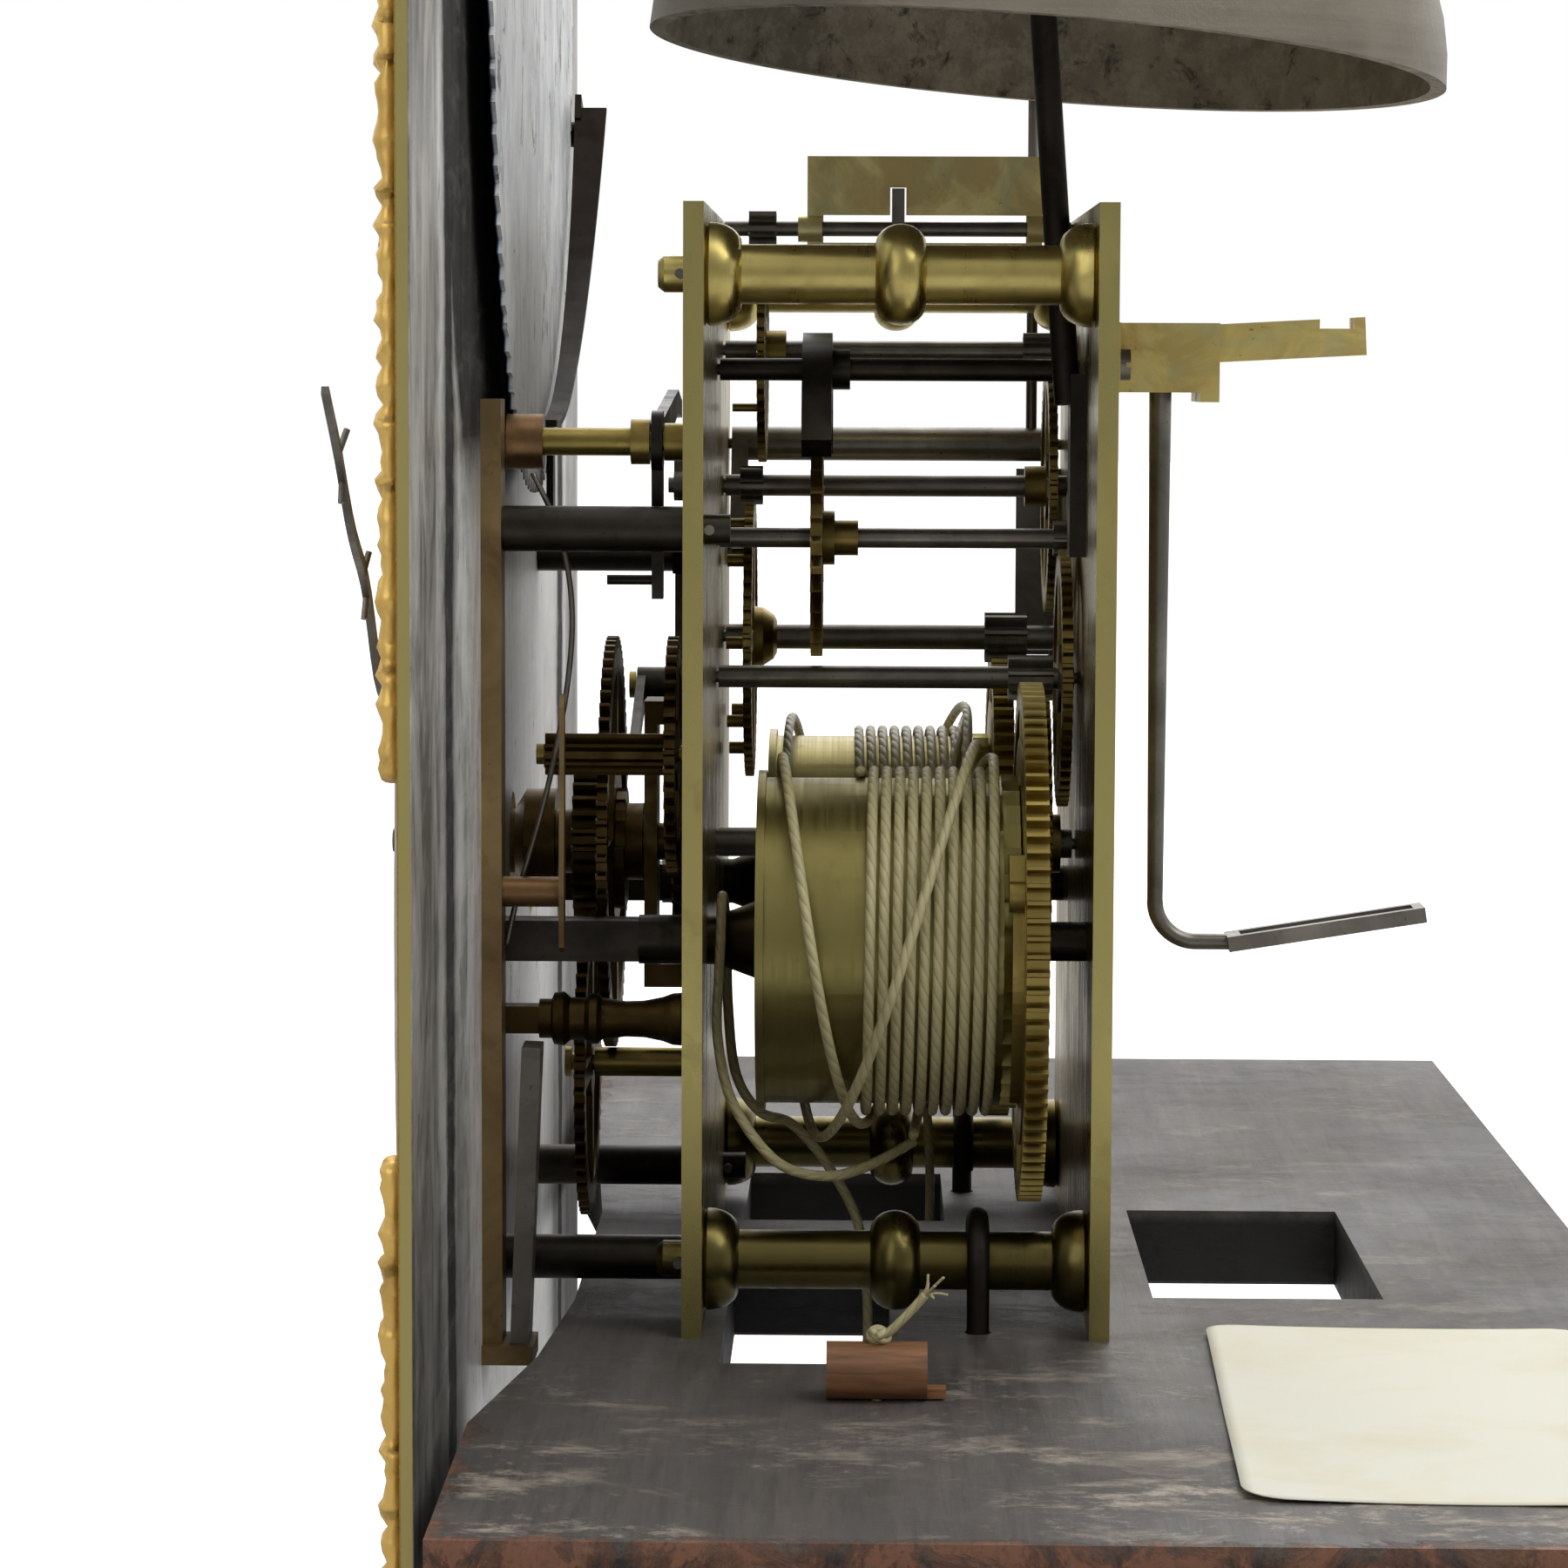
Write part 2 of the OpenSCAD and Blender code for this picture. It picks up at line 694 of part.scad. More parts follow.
// Dome shell with a thickened lip
module bell() {
    inner_r = bell_r - bell_wall;
    inner_h = bell_h - bell_wall;
    outer = [for (a = [0 : 6 : 90]) [bell_r * cos(a), bell_h * sin(a)]];
    inner = [for (a = [90 : -6 : 0]) [inner_r * cos(a), inner_h * sin(a)]];
    color("gray") translate([bell_x, bell_y, seat_t + bell_z]) rotate(bell_tilt) difference() {
        rotate_extrude() polygon(concat(outer, inner));
        cylinder(h = bell_h + 5, r = stand_r + 0.5);
    }
}

// Dial with its arch, and what is fixed to it

dial_half = dial_w / 2;
foot_len = dial_y - back_out;
strap_w = 8;
strap_t = 3.2;
strap_low = -2;
strap_high = 147.8;
stud_r = 1.5;
thin_r = 1;

module dial_outline() {
    translate([-dial_half, -dial_half]) square(dial_w);
    translate([0, dial_half]) circle(r = arch_r);
}

// Moon opening between two humps
window_r = moon_r - moon_drop - 5;

module moon_window() {
    difference() {
        translate([0, dial_half + 2]) intersection() {
            circle(r = window_r);
            translate([-moon_r, 0]) square([2 * moon_r, moon_r]);
        }
        for (s = [-1, 1]) translate([s * window_r / 2, dial_half + 2]) circle(r = 0.42 * window_r);
    }
}

module dial_plate() {
    color("darkgoldenrod") at(centre) {
        slab(dial_front, dial_back) difference() {
            dial_outline();
            moon_window();
            circle(r = hour_r + 3);
            for (s = [-1, 1])
                translate([s * barrel_x, barrel_z - centre[1]]) circle(r = square_w * 0.75 + 1.5);
            translate([0, escape[1] - centre[1]]) circle(r = 3);
        }
        translate([0, 0, dial_half - moon_drop]) {
            rod(dial_back - 0.5, dial_back + 5.5, 4 - fit);
            rod(dial_back, dial_back + 3.3, 7);
            rod(dial_back + 5.4, dial_back + 6.4, 5.5);
        }
    }
}

// Four steel feet with tenons through the front plate
module dial_feet() {
    color([0.3, 0.28, 0.26]) for (p = feet) at(p) difference() {
        union() {
            rod(p[0] == strap_x ? dial_back + strap_t : dial_back, front_out, foot_r);
            rod(front_out - 1, front_in + 4, tenon_r);
        }
        cross_pin(front_in + pin_r + snug, pin_r + snug, 12);
    }
}

// Upright strap with a foot on the back of the dial
module dial_strap() {
    color([0.62, 0.47, 0.33]) {
        translate([strap_x - strap_w / 2, dial_back, seat_t + strap_low])
            cube([strap_w, strap_t, strap_high - strap_low]);
        translate([strap_x - 6, dial_back, seat_t + strap_low - 3]) cube([12, strap_t + 5, 3]);
    }
}

module chapter_ring() {
    color("lightgray") at(centre) slab(dial_front - ring_t, dial_front) difference() {
        circle(r = ring_r, $fn = 120);
        circle(r = ring_r - ring_w, $fn = 120);
    }
}

// Corner ornament between the chapter ring and the dial's edge, with lobed borders
module spandrel() {
    edge = dial_half - 3;
    lobes = 9;
    span = edge - 27;
    difference() {
        translate([27, 27]) square(span);
        circle(r = ring_r + 1.5, $fn = 120);
        for (i = [0 : lobes]) {
            t = 27 + i * span / lobes;
            translate([edge + 2, t]) circle(r = 4.4);
            translate([t, edge + 2]) circle(r = 4.4);
        }
    }
}

module spandrels() {
    color("gold") at(centre) slab(dial_front - spandrel_t, dial_front)
        for (a = [0 : 90 : 270]) rotate(a) spandrel();
}

// Curved steel strip behind the moon disc, narrower below, on two posts that stand clear of the disc
guard_r = 100;
guard_at = [0, centre[1] + 172];
guard_y = dial_back + 11;
guard_posts = [[-102, 197], [-14, 126]];

module moon_guard() {
    color([0.2, 0.19, 0.18]) {
        at(guard_at) difference() {
            slab(dial_back + 5, guard_y) rotate(205) rotate_sector(guard_r, guard_r + 1.2, 68);
            translate([-2 * guard_r, guard_y, -guard_r * 0.42]) rotate([-3.06, 0, 0])
                translate([0, 0, -2 * guard_r]) cube([4 * guard_r, 20, 4 * guard_r]);
        }
        at([0, 0]) slab(dial_back + 5, dial_back + 6.2) {
            polygon([[-91, 204], [-102, 200], [-103, 194], [-89, 199.5]]);
            polygon([[-16.5, 144.2], [-17, 126], [-11, 126], [-11.5, 143.6]]);
        }
        for (p = guard_posts) at(p) rod(dial_back, dial_back + 7, 2.4);
    }
}

module rotate_sector(r0, r1, sweep) {
    polygon(concat([for (i = [0 : 20]) r1 * [cos(i * sweep / 20), sin(i * sweep / 20)]],
                   [for (i = [20 : -1 : 0]) r0 * [cos(i * sweep / 20), sin(i * sweep / 20)]]));
}

// Bridge over the cannon wheel, with the pipe that the hour wheel turns on
module hour_bridge() {
    color("darkgoldenrod") at(centre) difference() {
        union() {
            slab(bridge_y, bridge_y + bridge_t) translate([-5.5, -bridge_half]) square([11, 2 * bridge_half]);
            for (s = [-1, 1]) translate([-5.5, bridge_y, s > 0 ? bridge_half - 4 : -bridge_half])
                cube([11, front_out - bridge_y, 4]);
            rod(dial_front - 6, bridge_y + 1, bridge_r);
        }
        rod(dial_front - 9, bridge_y + bridge_t + 1, cannon_r + fit);
    }
}

// Studs of the minute wheel, date wheel, rack and lifting piece
lifter_pipe_y = lever_y - lever_t - 0.3;
rack_stud_y = lever_y - 9;

module front_studs() {
    color("darkgoldenrod") {
        at(minute_at) {
            rod(front_out - 1.7, front_in, stud_r);
            rod(front_out - 25, front_out, thin_r);
            rod(front_out - 25.4, front_out - 24.2, 1.7);
        }
        at(date_at) {
            rod(date_y - 2, front_in, stud_r);
            rod(date_y + wheel_t + 0.3, front_out, 2.5);
            rod(date_y - 3, date_y - 1.9, 2.6);
        }
        at(rack_at) {
            rod(rack_stud_y, front_in, stud_r);
            rod(lever_y + 0.25, front_out, 3);
            rod(rack_stud_y - 1, rack_stud_y + 0.1, 2.4);
        }
        at(lifter_at) {
            rod(dial_back + strap_t, front_in, stud_r);
            rod(dial_back + strap_t + 5.6, lifter_pipe_y, post_r);
            rod(lifter_pipe_y - 3, lifter_pipe_y, 3.6);
            rod(lever_y + 0.25, front_out, 3);
            rod(dial_back + strap_t, dial_back + strap_t + 5.8, 4.4);
        }
        at([strap_x, 70]) rod(dial_back + strap_t, dial_back + strap_t + 9, 2.4);
    }
}

// Baluster post in front of the front plate
module date_post() {
    color("darkgoldenrod") at(date_post_at) {
        turned(front_out - 24) polygon([[0, 0], [3.2, 0], [3.2, 2], [4.2, 2.4], [4.4, 4], [3.5, 5],
            [3.4, 7.4], [4.1, 8.2], [4.1, 9.4], [3.4, 10.2], [2.9, 14], [3, 17], [3.6, 20],
            [4.2, 21.6], [4.3, 23], [3.6, 24], [0, 24]]);
        rod(front_out - 1, front_in, 1.5);
        translate([-2.2, front_out - 30, -2.2]) cube([4.4, 6.2, 4.4]);
    }
}

// Blade spring of the hammer on the back plate, and the blade that stands on a foot of the dial's strap
spring_screw_at = [-hammer_x - 1, 103];

module blade_springs() {
    color("dimgray") translate([strap_x - 4, dial_back + 4.4, seat_t + strap_low + 0.15]) rotate([-2.3, 0, 0])
        cube([8, 3, 47.5]);
    color("dimgray") translate([-hammer_x - 3.6, 0, seat_t]) {
        translate([0, 22.4, 100]) cube([0.9, back_in - 22.4, hammer_z - hammer_r - 101.4]);
        difference() {
            translate([0, back_in - 2, 99]) cube([6.4, 2, 8]);
            translate([2.6, 0, 103]) rod(back_in - 4, back_in + 1, 1.2 + snug);
        }
    }
}

// Barrels: the drum with its caps, the arbor with its ratchet, and the line

// Drum with its ratchet, which ends just in front of the great wheel at y
module drum(y) {
    difference() {
        union() {
            rod(drum_front, y - drum_gap, drum_r);
            rod(drum_front - 1.3, drum_front, flange_r);
            slab(y - drum_gap - 0.1, y - 0.3) ratchet();
        }
        rod(drum_front + 2, y - drum_gap - 2, drum_r - 2);
        rod(drum_front - 3, y + 1, barrel_arbor_r + snug);
    }
}

module going_barrel() {
    color("goldenrod") at(going) drum(great_y);
}

module strike_barrel() {
    color("goldenrod") at(strike) drum(strike_y);
}

// Ratchet teeth that lean one way
module ratchet() {
    polygon([for (i = [0 : ratchet_n - 1], f = [[ratchet_r, 0], [ratchet_r - 2, 2]])
        let (a = i * 360 / ratchet_n + f[1]) f[0] * [cos(a), sin(a)]]);
}

module barrel_arbor(y) {
    square_end = dial_front - square_out;
    square_l = front_out - 7.9 - square_end;
    rod(front_out - 8, y + great_t + 0.4, barrel_arbor_r);
    translate([-square_w / 2, square_end, -square_w / 2]) cube([square_w, square_l, square_w]);
    taper(front_in + 1.6, drum_front - 1.4, barrel_arbor_r, barrel_arbor_r + 2.4);
    rod(y + great_t + 0.3, back_out - pivot_end, barrel_arbor_r - 0.8);
}

module going_arbor() {
    color("dimgray") at(going) barrel_arbor(great_y);
}

module strike_arbor() {
    color("dimgray") at(strike) barrel_arbor(strike_y);
}

// Great wheel that turns freely on its arbor except through its click
module great_wheel(n, m, turn, y) {
    train_wheel(n, m, y, great_t, ratchet_r + 6, barrel_arbor_r + fit, turn);
    rod_ring(y + great_t, y + great_t + 1.2, 9, barrel_arbor_r - 0.8 + 1);
}

module rod_ring(y0, y1, r, hole) {
    difference() {
        rod(y0 - 0.01, y1, r);
        rod(y0 - 1, y1 + 1, hole);
    }
}

// Click and its spring on the front of the great wheel
module click(y) {
    at_r = ratchet_r + 4.6;
    nose = (ratchet_r + 0.4) * [cos(17), sin(17)];
    slab(y - 2.4, y) {
        translate([at_r, 0]) circle(r = 2.6);
        polygon([[at_r + 2, -1], [at_r + 1.6, 6], nose, [at_r - 2.4, 1]]);
    }
    slab(y - 1.8, y) rotate_sector(ratchet_r + 2.6, ratchet_r + 3.6, -70);
}

module going_great_wheel() {
    color("goldenrod") at(going) great_wheel(great_n, great_m, heading(going, centre), great_y);
}

module strike_great_wheel() {
    color("goldenrod") at(strike) great_wheel(strike_n, strike_m, heading(strike, pinw), strike_y);
}

module going_click() {
    color("dimgray") at(going) rotate([0, -20, 0]) click(great_y);
}

module strike_click() {
    color("dimgray") at(strike) rotate([0, 160, 0]) click(strike_y);
}

// Tube of six sides along a list of points, closed at its ends
module tube(path, r) {
    n = len(path);
    function tangent(i) = let (d = path[min(i + 1, n - 1)] - path[max(i - 1, 0)]) d / norm(d);
    function side(i, up) = let (t = tangent(i), s = cross(t, up)) s / norm(s);
    ups = [for (i = [0 : n - 1]) let (t = tangent(i)) abs(t[1]) < 0.9 ? [0, 1, 0] : [1, 0, 0]];
    points = [for (i = [0 : n - 1], k = [0 : 5])
        let (t = tangent(i), s = side(i, ups[i]), u = cross(s, t))
            path[i] + r * (cos(60 * k) * s + sin(60 * k) * u)];
    walls = [for (i = [0 : n - 2], k = [0 : 5])
        let (a = 6 * i + k, b = 6 * i + (k + 1) % 6, c = a + 6, d = b + 6) each [[a, b, c], [b, d, c]]];
    first = [for (k = [1 : 4]) [0, k + 1, k]];
    last = [for (k = [1 : 4]) 6 * (n - 1) * [1, 1, 1] + [0, k, k + 1]];
    polyhedron(points, concat(walls, first, last));
}

// Turns of line: neat ones up to the back of the drum at y, then two and a half slack ones over them
slack = 2.5;
function spread(t, a, b) = let (u = max(0, min(1, (t - a) / (b - a)))) u * u * (3 - 2 * u);
function wind_last(y) = y - drum_gap - line_r - 0.4;
function wind_y(t, turns, y) =
    let (y1 = wind_last(y), k = [y1 + 0.5, y1, -4.5, -18.5, -13, 12.6, 3, 3], v = 2 * max(0, t - turns),
        i = min(4, floor(v)))
    t <= turns ? y1 - (turns - t) * line_pitch : bend(k, i + 1, v - i);
function wind_radius(t, turns) = wind_r + lay * spread(t, turns - 0.35, turns - 0.02)
    + lay * spread(t, turns + 1, turns + 1.5);
function wind_point(t, turns, dir, y) = let (a = 90 + dir * 360 * t, r = wind_radius(t, turns))
    [r * cos(a), wind_y(t, turns, y), r * sin(a)];
function winding(turns, dir, y) =
    [for (i = [0 : (turns + slack) * rings]) wind_point(i / rings, turns, dir, y)];

// Least gap between turns, measured on points half a turn or more apart
function least_gap(path) = min([for (i = [0 : len(path) - 1], j = [i + rings / 2 : len(path) - 1])
    norm(path[i] - path[j])]) - line_d;

going_path = winding(going_turns, 1, great_y);
strike_path = winding(strike_turns, -1, strike_y);
echo(going_winding_gap = least_gap(going_path));
echo(strike_winding_gap = least_gap(strike_path));

module going_winding() {
    color("wheat") at(going) tube(going_path, line_r);
}

module strike_winding() {
    color("wheat") at(strike) tube(strike_path, line_r);
}

// Free line of the going barrel: a slack loop before the barrel, down through the board, up to its peg
peg_at = [112, -3];
fall_r = wind_r + 2 * lay + line_d + 0.02;
fall_x = barrel_x - fall_r * sin(5);
fall_z = barrel_z - fall_r * cos(5);
fall_y = 3;
going_route = [
    [fall_x, fall_y, fall_z], [50, -4, 24.5], [58, -11, 24], [62, -19, 27], [60, -26, 36], [56, -28.6, 46],
    [51, -28.6, 55], [49.5, -28.4, 60], [46, -28.3, 66.5], [40, -28.2, 66.5], [36.6, -27.8, 60],
    [33, -27.6, 48], [28.5, -26.4, 36], [27.5, -22.5, 29.5], [28.5, -17, 27.5], [31, -11, 21],
    [34.5, -6, 12], [37, -4.4, 0], [39.5, -4.6, -14], [44, -6, -32], [54, -9, -56], [74, -11, -73],
    [96, -8, -68], [110, -4, -44], [112, -3, -26], [112, -3, 9.6]
];
strike_route = [
    [-fall_x, fall_y, fall_z], [-46, 4.6, 24], [-48.5, 6.4, 17], [-49, 7, 7], [-49, 7, -8],
    [-49, 6.6, -30], [-50, 6, -46], [-53, 5, -62]
];

// Smooth curve through a list of points
function bend(p, i, u) =
    let (n = len(p) - 1, a = p[max(i - 1, 0)], b = p[i], c = p[min(i + 1, n)], d = p[min(i + 2, n)])
    0.5 * (2 * b + (c - a) * u + (2 * a - 5 * b + 4 * c - d) * u * u + (3 * b - a - 3 * c + d) * u * u * u);
function curve(p) = concat([for (i = [0 : len(p) - 2], u = [0 : 3]) bend(p, i, u / 4)], [p[len(p) - 1]]);

module going_fall() {
    color("wheat") translate([0, 0, seat_t]) tube(curve(going_route), line_r);
}

module strike_fall() {
    color("wheat") translate([0, 0, seat_t]) tube(curve(strike_route), line_r);
}

// Wooden peg that ends the going line on the board
peg_r = 4.3;
peg_l = 15;

module line_peg() {
    color("sienna") translate([peg_at[0], peg_at[1], seat_t + peg_r]) difference() {
        union() {
            rod(-peg_l / 2, peg_l / 2, peg_r);
            translate([-1.6, peg_l / 2 - 0.2, -peg_r + 0.4]) cube([3.2, 3, 1.4]);
        }
        translate([0, 0, -peg_r - 1]) cylinder(h = 2 * peg_r + 2, r = line_r + 0.3);
    }
}

// Going train

module centre_arbor() {
    color("dimgray") at(centre) {
        rod(front_in + 0.4, back_in - 0.4, arbor_r + 0.6);
        rod(minute_hand_y - 3, front_in + 1, arbor_r + 0.1);
        rod(front_out + pivot_end, front_in + 1, arbor_r + 0.5);
        rod(back_in - 1, back_out - pivot_end, pivot_r);
        slab(back_in - 9.6, back_in - 6.7) leaves(pinion_n, great_m, space_at(centre, going, pinion_n));
    }
}

module centre_wheel() {
    color("goldenrod") at(centre) {
        train_wheel(centre_n, centre_m, centre_y, wheel_t, 7, arbor_r + 0.6 + snug, heading(centre, third));
        collet(centre_y + wheel_t, centre_y + wheel_t + 2.2, 5, arbor_r + 0.6 + snug);
    }
}

// Cannon pipe with its wheel, which carries the minute hand
module cannon_wheel() {
    color("goldenrod") at(centre) difference() {
        union() {
            slab(cannon_y, cannon_y + wheel_t) difference() {
                wheel_teeth(minute_n, minute_m, heading(centre, minute_at));
                crossings(6, motion_d / 2 - 4, 3);
            }
            rod(minute_hand_y - 0.6, cannon_y + 1, cannon_r);
            rod(cannon_y + wheel_t - 0.2, front_out - 0.5, 4.4);
        }
        rod(minute_hand_y - 3, front_out + 1, arbor_r + 0.1 + snug);
    }
}

module third_arbor() {
    color("dimgray") at(third) {
        train_arbor(arbor_r, pivot_r);
        slab(back_in - 11.6, back_in - 4) leaves(pinion_n, centre_m, space_at(third, centre, pinion_n));
    }
}

module third_wheel() {
    color("goldenrod") at(third)
        train_wheel(third_n, third_m, third_y, wheel_t, 6, arbor_r + snug, heading(third, escape));
}

// Escape arbor, which reaches through the front plate to carry the seconds hand
module escape_arbor() {
    color("dimgray") at(escape) {
        rod(front_in + 0.4, back_in - 0.4, arbor_r - 0.2);
        rod(dial_front - 6, front_in + 1, pivot_r + 0.4);
        rod(back_in - 1, back_out - pivot_end, pivot_r);
        slab(back_in - 4, back_in - 1) leaves(small_n, third_m, space_at(escape, third, small_n));
    }
}

// Escape wheel with slender leaning teeth
module escape_wheel() {
    root = escape_r - 4.6;
    flanks = [[root, -0.8], [escape_r, -0.6], [escape_r, 0.6], [root, 3.2]];
    color("goldenrod") at(escape) {
        slab(escape_y, escape_y + 2) difference() {
            polygon([for (i = [0 : escape_n - 1], f = flanks)
                let (a = i * 360 / escape_n + f[1]) f[0] * [cos(a), sin(a)]]);
            crossings(5.4, root - 2.4, 2.6);
            circle(r = arbor_r - 0.2 + snug);
        }
        collet(escape_y + 2, escape_y + 4, 4.6, arbor_r - 0.2 + snug);
        collet(escape_y + 4, escape_y + 8, 3, arbor_r - 0.2 + snug);
    }
}

// Half of the anchor: from the hub out to a pallet that points at the escape arbor
module anchor_arm() {
    tip_r = escape_r + nib_gap;
    tip = [tip_r * sqrt(0.5), tip_r * sqrt(0.5) - escape_r * sqrt(2)];
    along = [sqrt(0.5), -sqrt(0.5)];
    out = [sqrt(0.5), sqrt(0.5)];
    polygon([tip - along * nib_t / 2, tip + along * nib_t / 2, tip + along * (nib_t / 2 + 0.9) + out * 5,
        [19.5, -7.6], [17.6, -3], [13.4, 1.6], [8, 4.6], [0, 6.2], [0, -3.4], [6, -3], [11, -4.6], [14, -7.4],
        tip - along * (nib_t / 2 + 0.6) + out * 3.5]);
}

// Pallet arbor with the anchor, from the front plate to the back cock
module pallets() {
    mid = escape_y + 1;
    color("dimgray") at(pallet) {
        rod(front_in + 0.4, cock_back - 0.4, arbor_r);
        rod(front_out + pivot_end, front_in + 1, pivot_r);
        rod(cock_back - 1, cock_back + cock_t - pivot_end, pivot_r);
        slab(mid - anchor_t / 2, mid + anchor_t / 2) {
            anchor_arm();
            mirror([1, 0]) anchor_arm();
        }
        rod(mid, mid + anchor_t / 2 + 3, 3.4);
    }
}

// Crutch: a rod bent back at its foot, with a closed fork for the pendulum rod
module crutch() {
    y0 = back_out + 10.8;
    bend_r = 7;
    fork_w = fork_gap + 3.4;
    color([0.35, 0.33, 0.31]) at(pallet) {
        collet(y0 - 2, y0 + 2, 3.4, arbor_r + snug);
        translate([0, y0, -crutch_l + bend_r]) {
            cylinder(h = crutch_l - bend_r - 2.6, r1 = crutch_r - 0.05, r2 = crutch_r + 0.5);
            translate([0, bend_r, 0]) rotate([90, 0, 90]) rotate([0, 0, 180])
                rotate_extrude(angle = 90) translate([bend_r, 0]) circle(r = crutch_r);
        }
        translate([0, 0, -crutch_l]) rod(y0 + bend_r, y0 + bend_r + 7, crutch_r);
        translate([0, y0 + 13, -crutch_l]) rotate([9, 0, 0]) difference() {
            translate([-fork_w / 2, -0.6, -1.3]) cube([fork_w, fork_l, 2.6]);
            translate([-fork_gap / 2, 1.8, -3]) cube([fork_gap, fork_l - 4.2, 6]);
        }
    }
}

// Motion work

module minute_wheel() {
    pipe_end = front_out - 24;
    color("goldenrod") at(minute_at) difference() {
        union() {
            slab(cannon_y, cannon_y + wheel_t) difference() {
                wheel_teeth(minute_n, minute_m, space_at(minute_at, centre, minute_n));
                crossings(6, motion_d / 2 - 4, 3);
            }
            slab(pipe_end, cannon_y + 0.2) leaves(minute_leaves, hour_m, heading(minute_at, centre), 1.2);
        }
        rod(pipe_end - 1, front_out, thin_r + fit);
    }
}

// Steps of the snail that set the number of blows
module snail() {
    polygon([for (h = [0 : 11], k = [0 : 2])
        let (r = 12.4 - 0.4 * h, a = -30 * h - 15 * k) r * [cos(a), sin(a)]]);
}

module hour_wheel() {
    color("goldenrod") at(centre) difference() {
        union() {
            slab(hour_y, hour_y + wheel_t) difference() {
                wheel_teeth(hour_n, hour_m, space_at(centre, minute_at, hour_n));
                crossings(15, hour_n * hour_m / 2 - 5, 4);
            }
            slab(drive_y, hour_y - 0.4) wheel_teeth(date_drive_n, date_m, 90);
            rod(hour_y - 1, bridge_y - 0.3, 6.6);
            slab(hour_y + wheel_t - 0.2, hour_y + wheel_t + 1.6) snail();
            rod(hour_hand_y - 0.8, hour_y, hour_r);
            rod(dial_back + 2.4, dial_back + 7.6, 9);
            taper(dial_back + 0.6, dial_back + 2.5, hour_r + 0.4, 9);
        }
        rod(hour_hand_y - 3, bridge_y + 1, bridge_r + fit);
    }
}

module date_wheel() {
    color("goldenrod") at(date_at) difference() {
        slab(date_y, date_y + wheel_t) difference() {
            wheel_teeth(date_n, date_m, 90 + 180 / date_n);
            crossings(6, date_n * date_m / 2 - 4.5, 3.6);
        }
        rod(date_y - 2, date_y + 4, stud_r + fit);
    }
}

// Hands, drawn pointing up and turned to the time

// Serpentine blade of a given length, tapering to its point
module blade(l, w, waves) {
    n = 8 * waves;
    function sway(u) = w * 0.8 * sin(360 * waves * u) * (1 - u);
    function half(u) = w * (0.5 - 0.36 * u);
    polygon(concat([for (i = [0 : n]) let (u = i / n) [sway(u) + half(u), 8 + (l - 8) * u]],
                   [for (i = [n : -1 : 0]) let (u = i / n) [sway(u) - half(u), 8 + (l - 8) * u]]));
}

module hand(l, w, waves, hub, hole, angle) {
    rotate(-angle) difference() {
        union() {
            circle(r = hub);
            translate([-w * 0.6, 0]) square([w * 1.2, 9]);
            blade(l, w, waves);
        }
        circle(r = hole);
    }
}

module minute_hand() {
    color("darkslategray") at(centre) slab(minute_hand_y, minute_hand_y + hand_t)
        hand(minute_l, 4.4, 3, 6, cannon_r + snug, 6 * minutes);
    color("darkslategray") at(centre)
        translate([0, minute_hand_y + hand_t / 2, 0]) rotate([0, 6 * minutes, 0])
            for (b = barbs) barb(b[0] * minute_l, b[1], b[2]);
}

// Barbs of the minute hand: share of its length, reach to its right and lift from the dial
barbs = [[0.87, -4, 1.2], [0.84, 4, 0], [0.62, -4.2, 0.9], [0.59, 3.4, -0.2]];

module barb(z, x, y) {
    strut([0, 0, z - sign(x)], [x, y, z + sign(-x) * 1.6], 0.5);
}

module hour_hand() {
    color("darkslategray") at(centre) slab(hour_hand_y, hour_hand_y + hand_t)
        hand(hour_l, 6, 2, 9, hour_r + snug, 30 * (hours + minutes / 60));
}

module seconds_hand() {
    color("darkslategray") at(escape) slab(dial_front - 4.6, dial_front - 3.8) difference() {
        union() {
            circle(r = 3.4);
            polygon([[-0.9, -12], [0.9, -12], [0.7, 0], [0.2, second_l], [-0.2, second_l], [-0.7, 0]]);
        }
        circle(r = pivot_r + 0.4 + snug);
    }
}

// Strike train

module pin_arbor() {
    color("dimgray") at(pinw) {
        train_arbor(arbor_r + 0.3, pivot_r);
        slab(back_in - 14.6, back_in - 7.1) leaves(pinion_n, strike_m, space_at(pinw, strike, pinion_n));
    }
}

module pin_wheel() {
    hole = arbor_r + 0.3 + snug;
    color("goldenrod") at(pinw) {
        train_wheel(pin_n, pin_m, pin_y, wheel_t - 0.3, 7, hole, heading(pinw, gather));
        difference() {
            turned(pin_y + wheel_t - 0.3) polygon([[0, 0], [5.4, 0], [5.2, 1.6], [4, 3.4], [2.9, 4], [0, 4]]);
            rod(pin_y - 1, pin_y + 8, hole);
        }
        for (i = [0 : lift_pins - 1]) rotate([0, 360 * i / lift_pins, 0])
            translate([lift_circle, 0, 0]) rod(front_in + 1, pin_y + 0.5, 1.1);
    }
}

// Gathering arbor, squared in front for the gathering pallet
module gathering_arbor() {
    color("dimgray") at(gather) {
        train_arbor(arbor_r, pivot_r);
        rod(lever_y - lever_t - 1, front_in + 1, pivot_r + 0.4);
        slab(front_in + 3, front_in + 7) leaves(pinion_n, pin_m, space_at(gather, pinw, pinion_n));
        slab(lever_y - lever_t, lever_y) {
            circle(r = 2.8);
            polygon([[-1.2, 0], [1.2, 0], [0.7, gather_l], [-0.4, gather_l]]);
        }
    }
}

module gathering_wheel() {
    color("goldenrod") at(gather) {
        train_wheel(gather_n, gather_m, gather_y, wheel_t - 0.3, 6, arbor_r + snug, heading(gather, warn));
        collet(gather_y - 3.6, gather_y, 3.6, arbor_r + snug);
    }
}

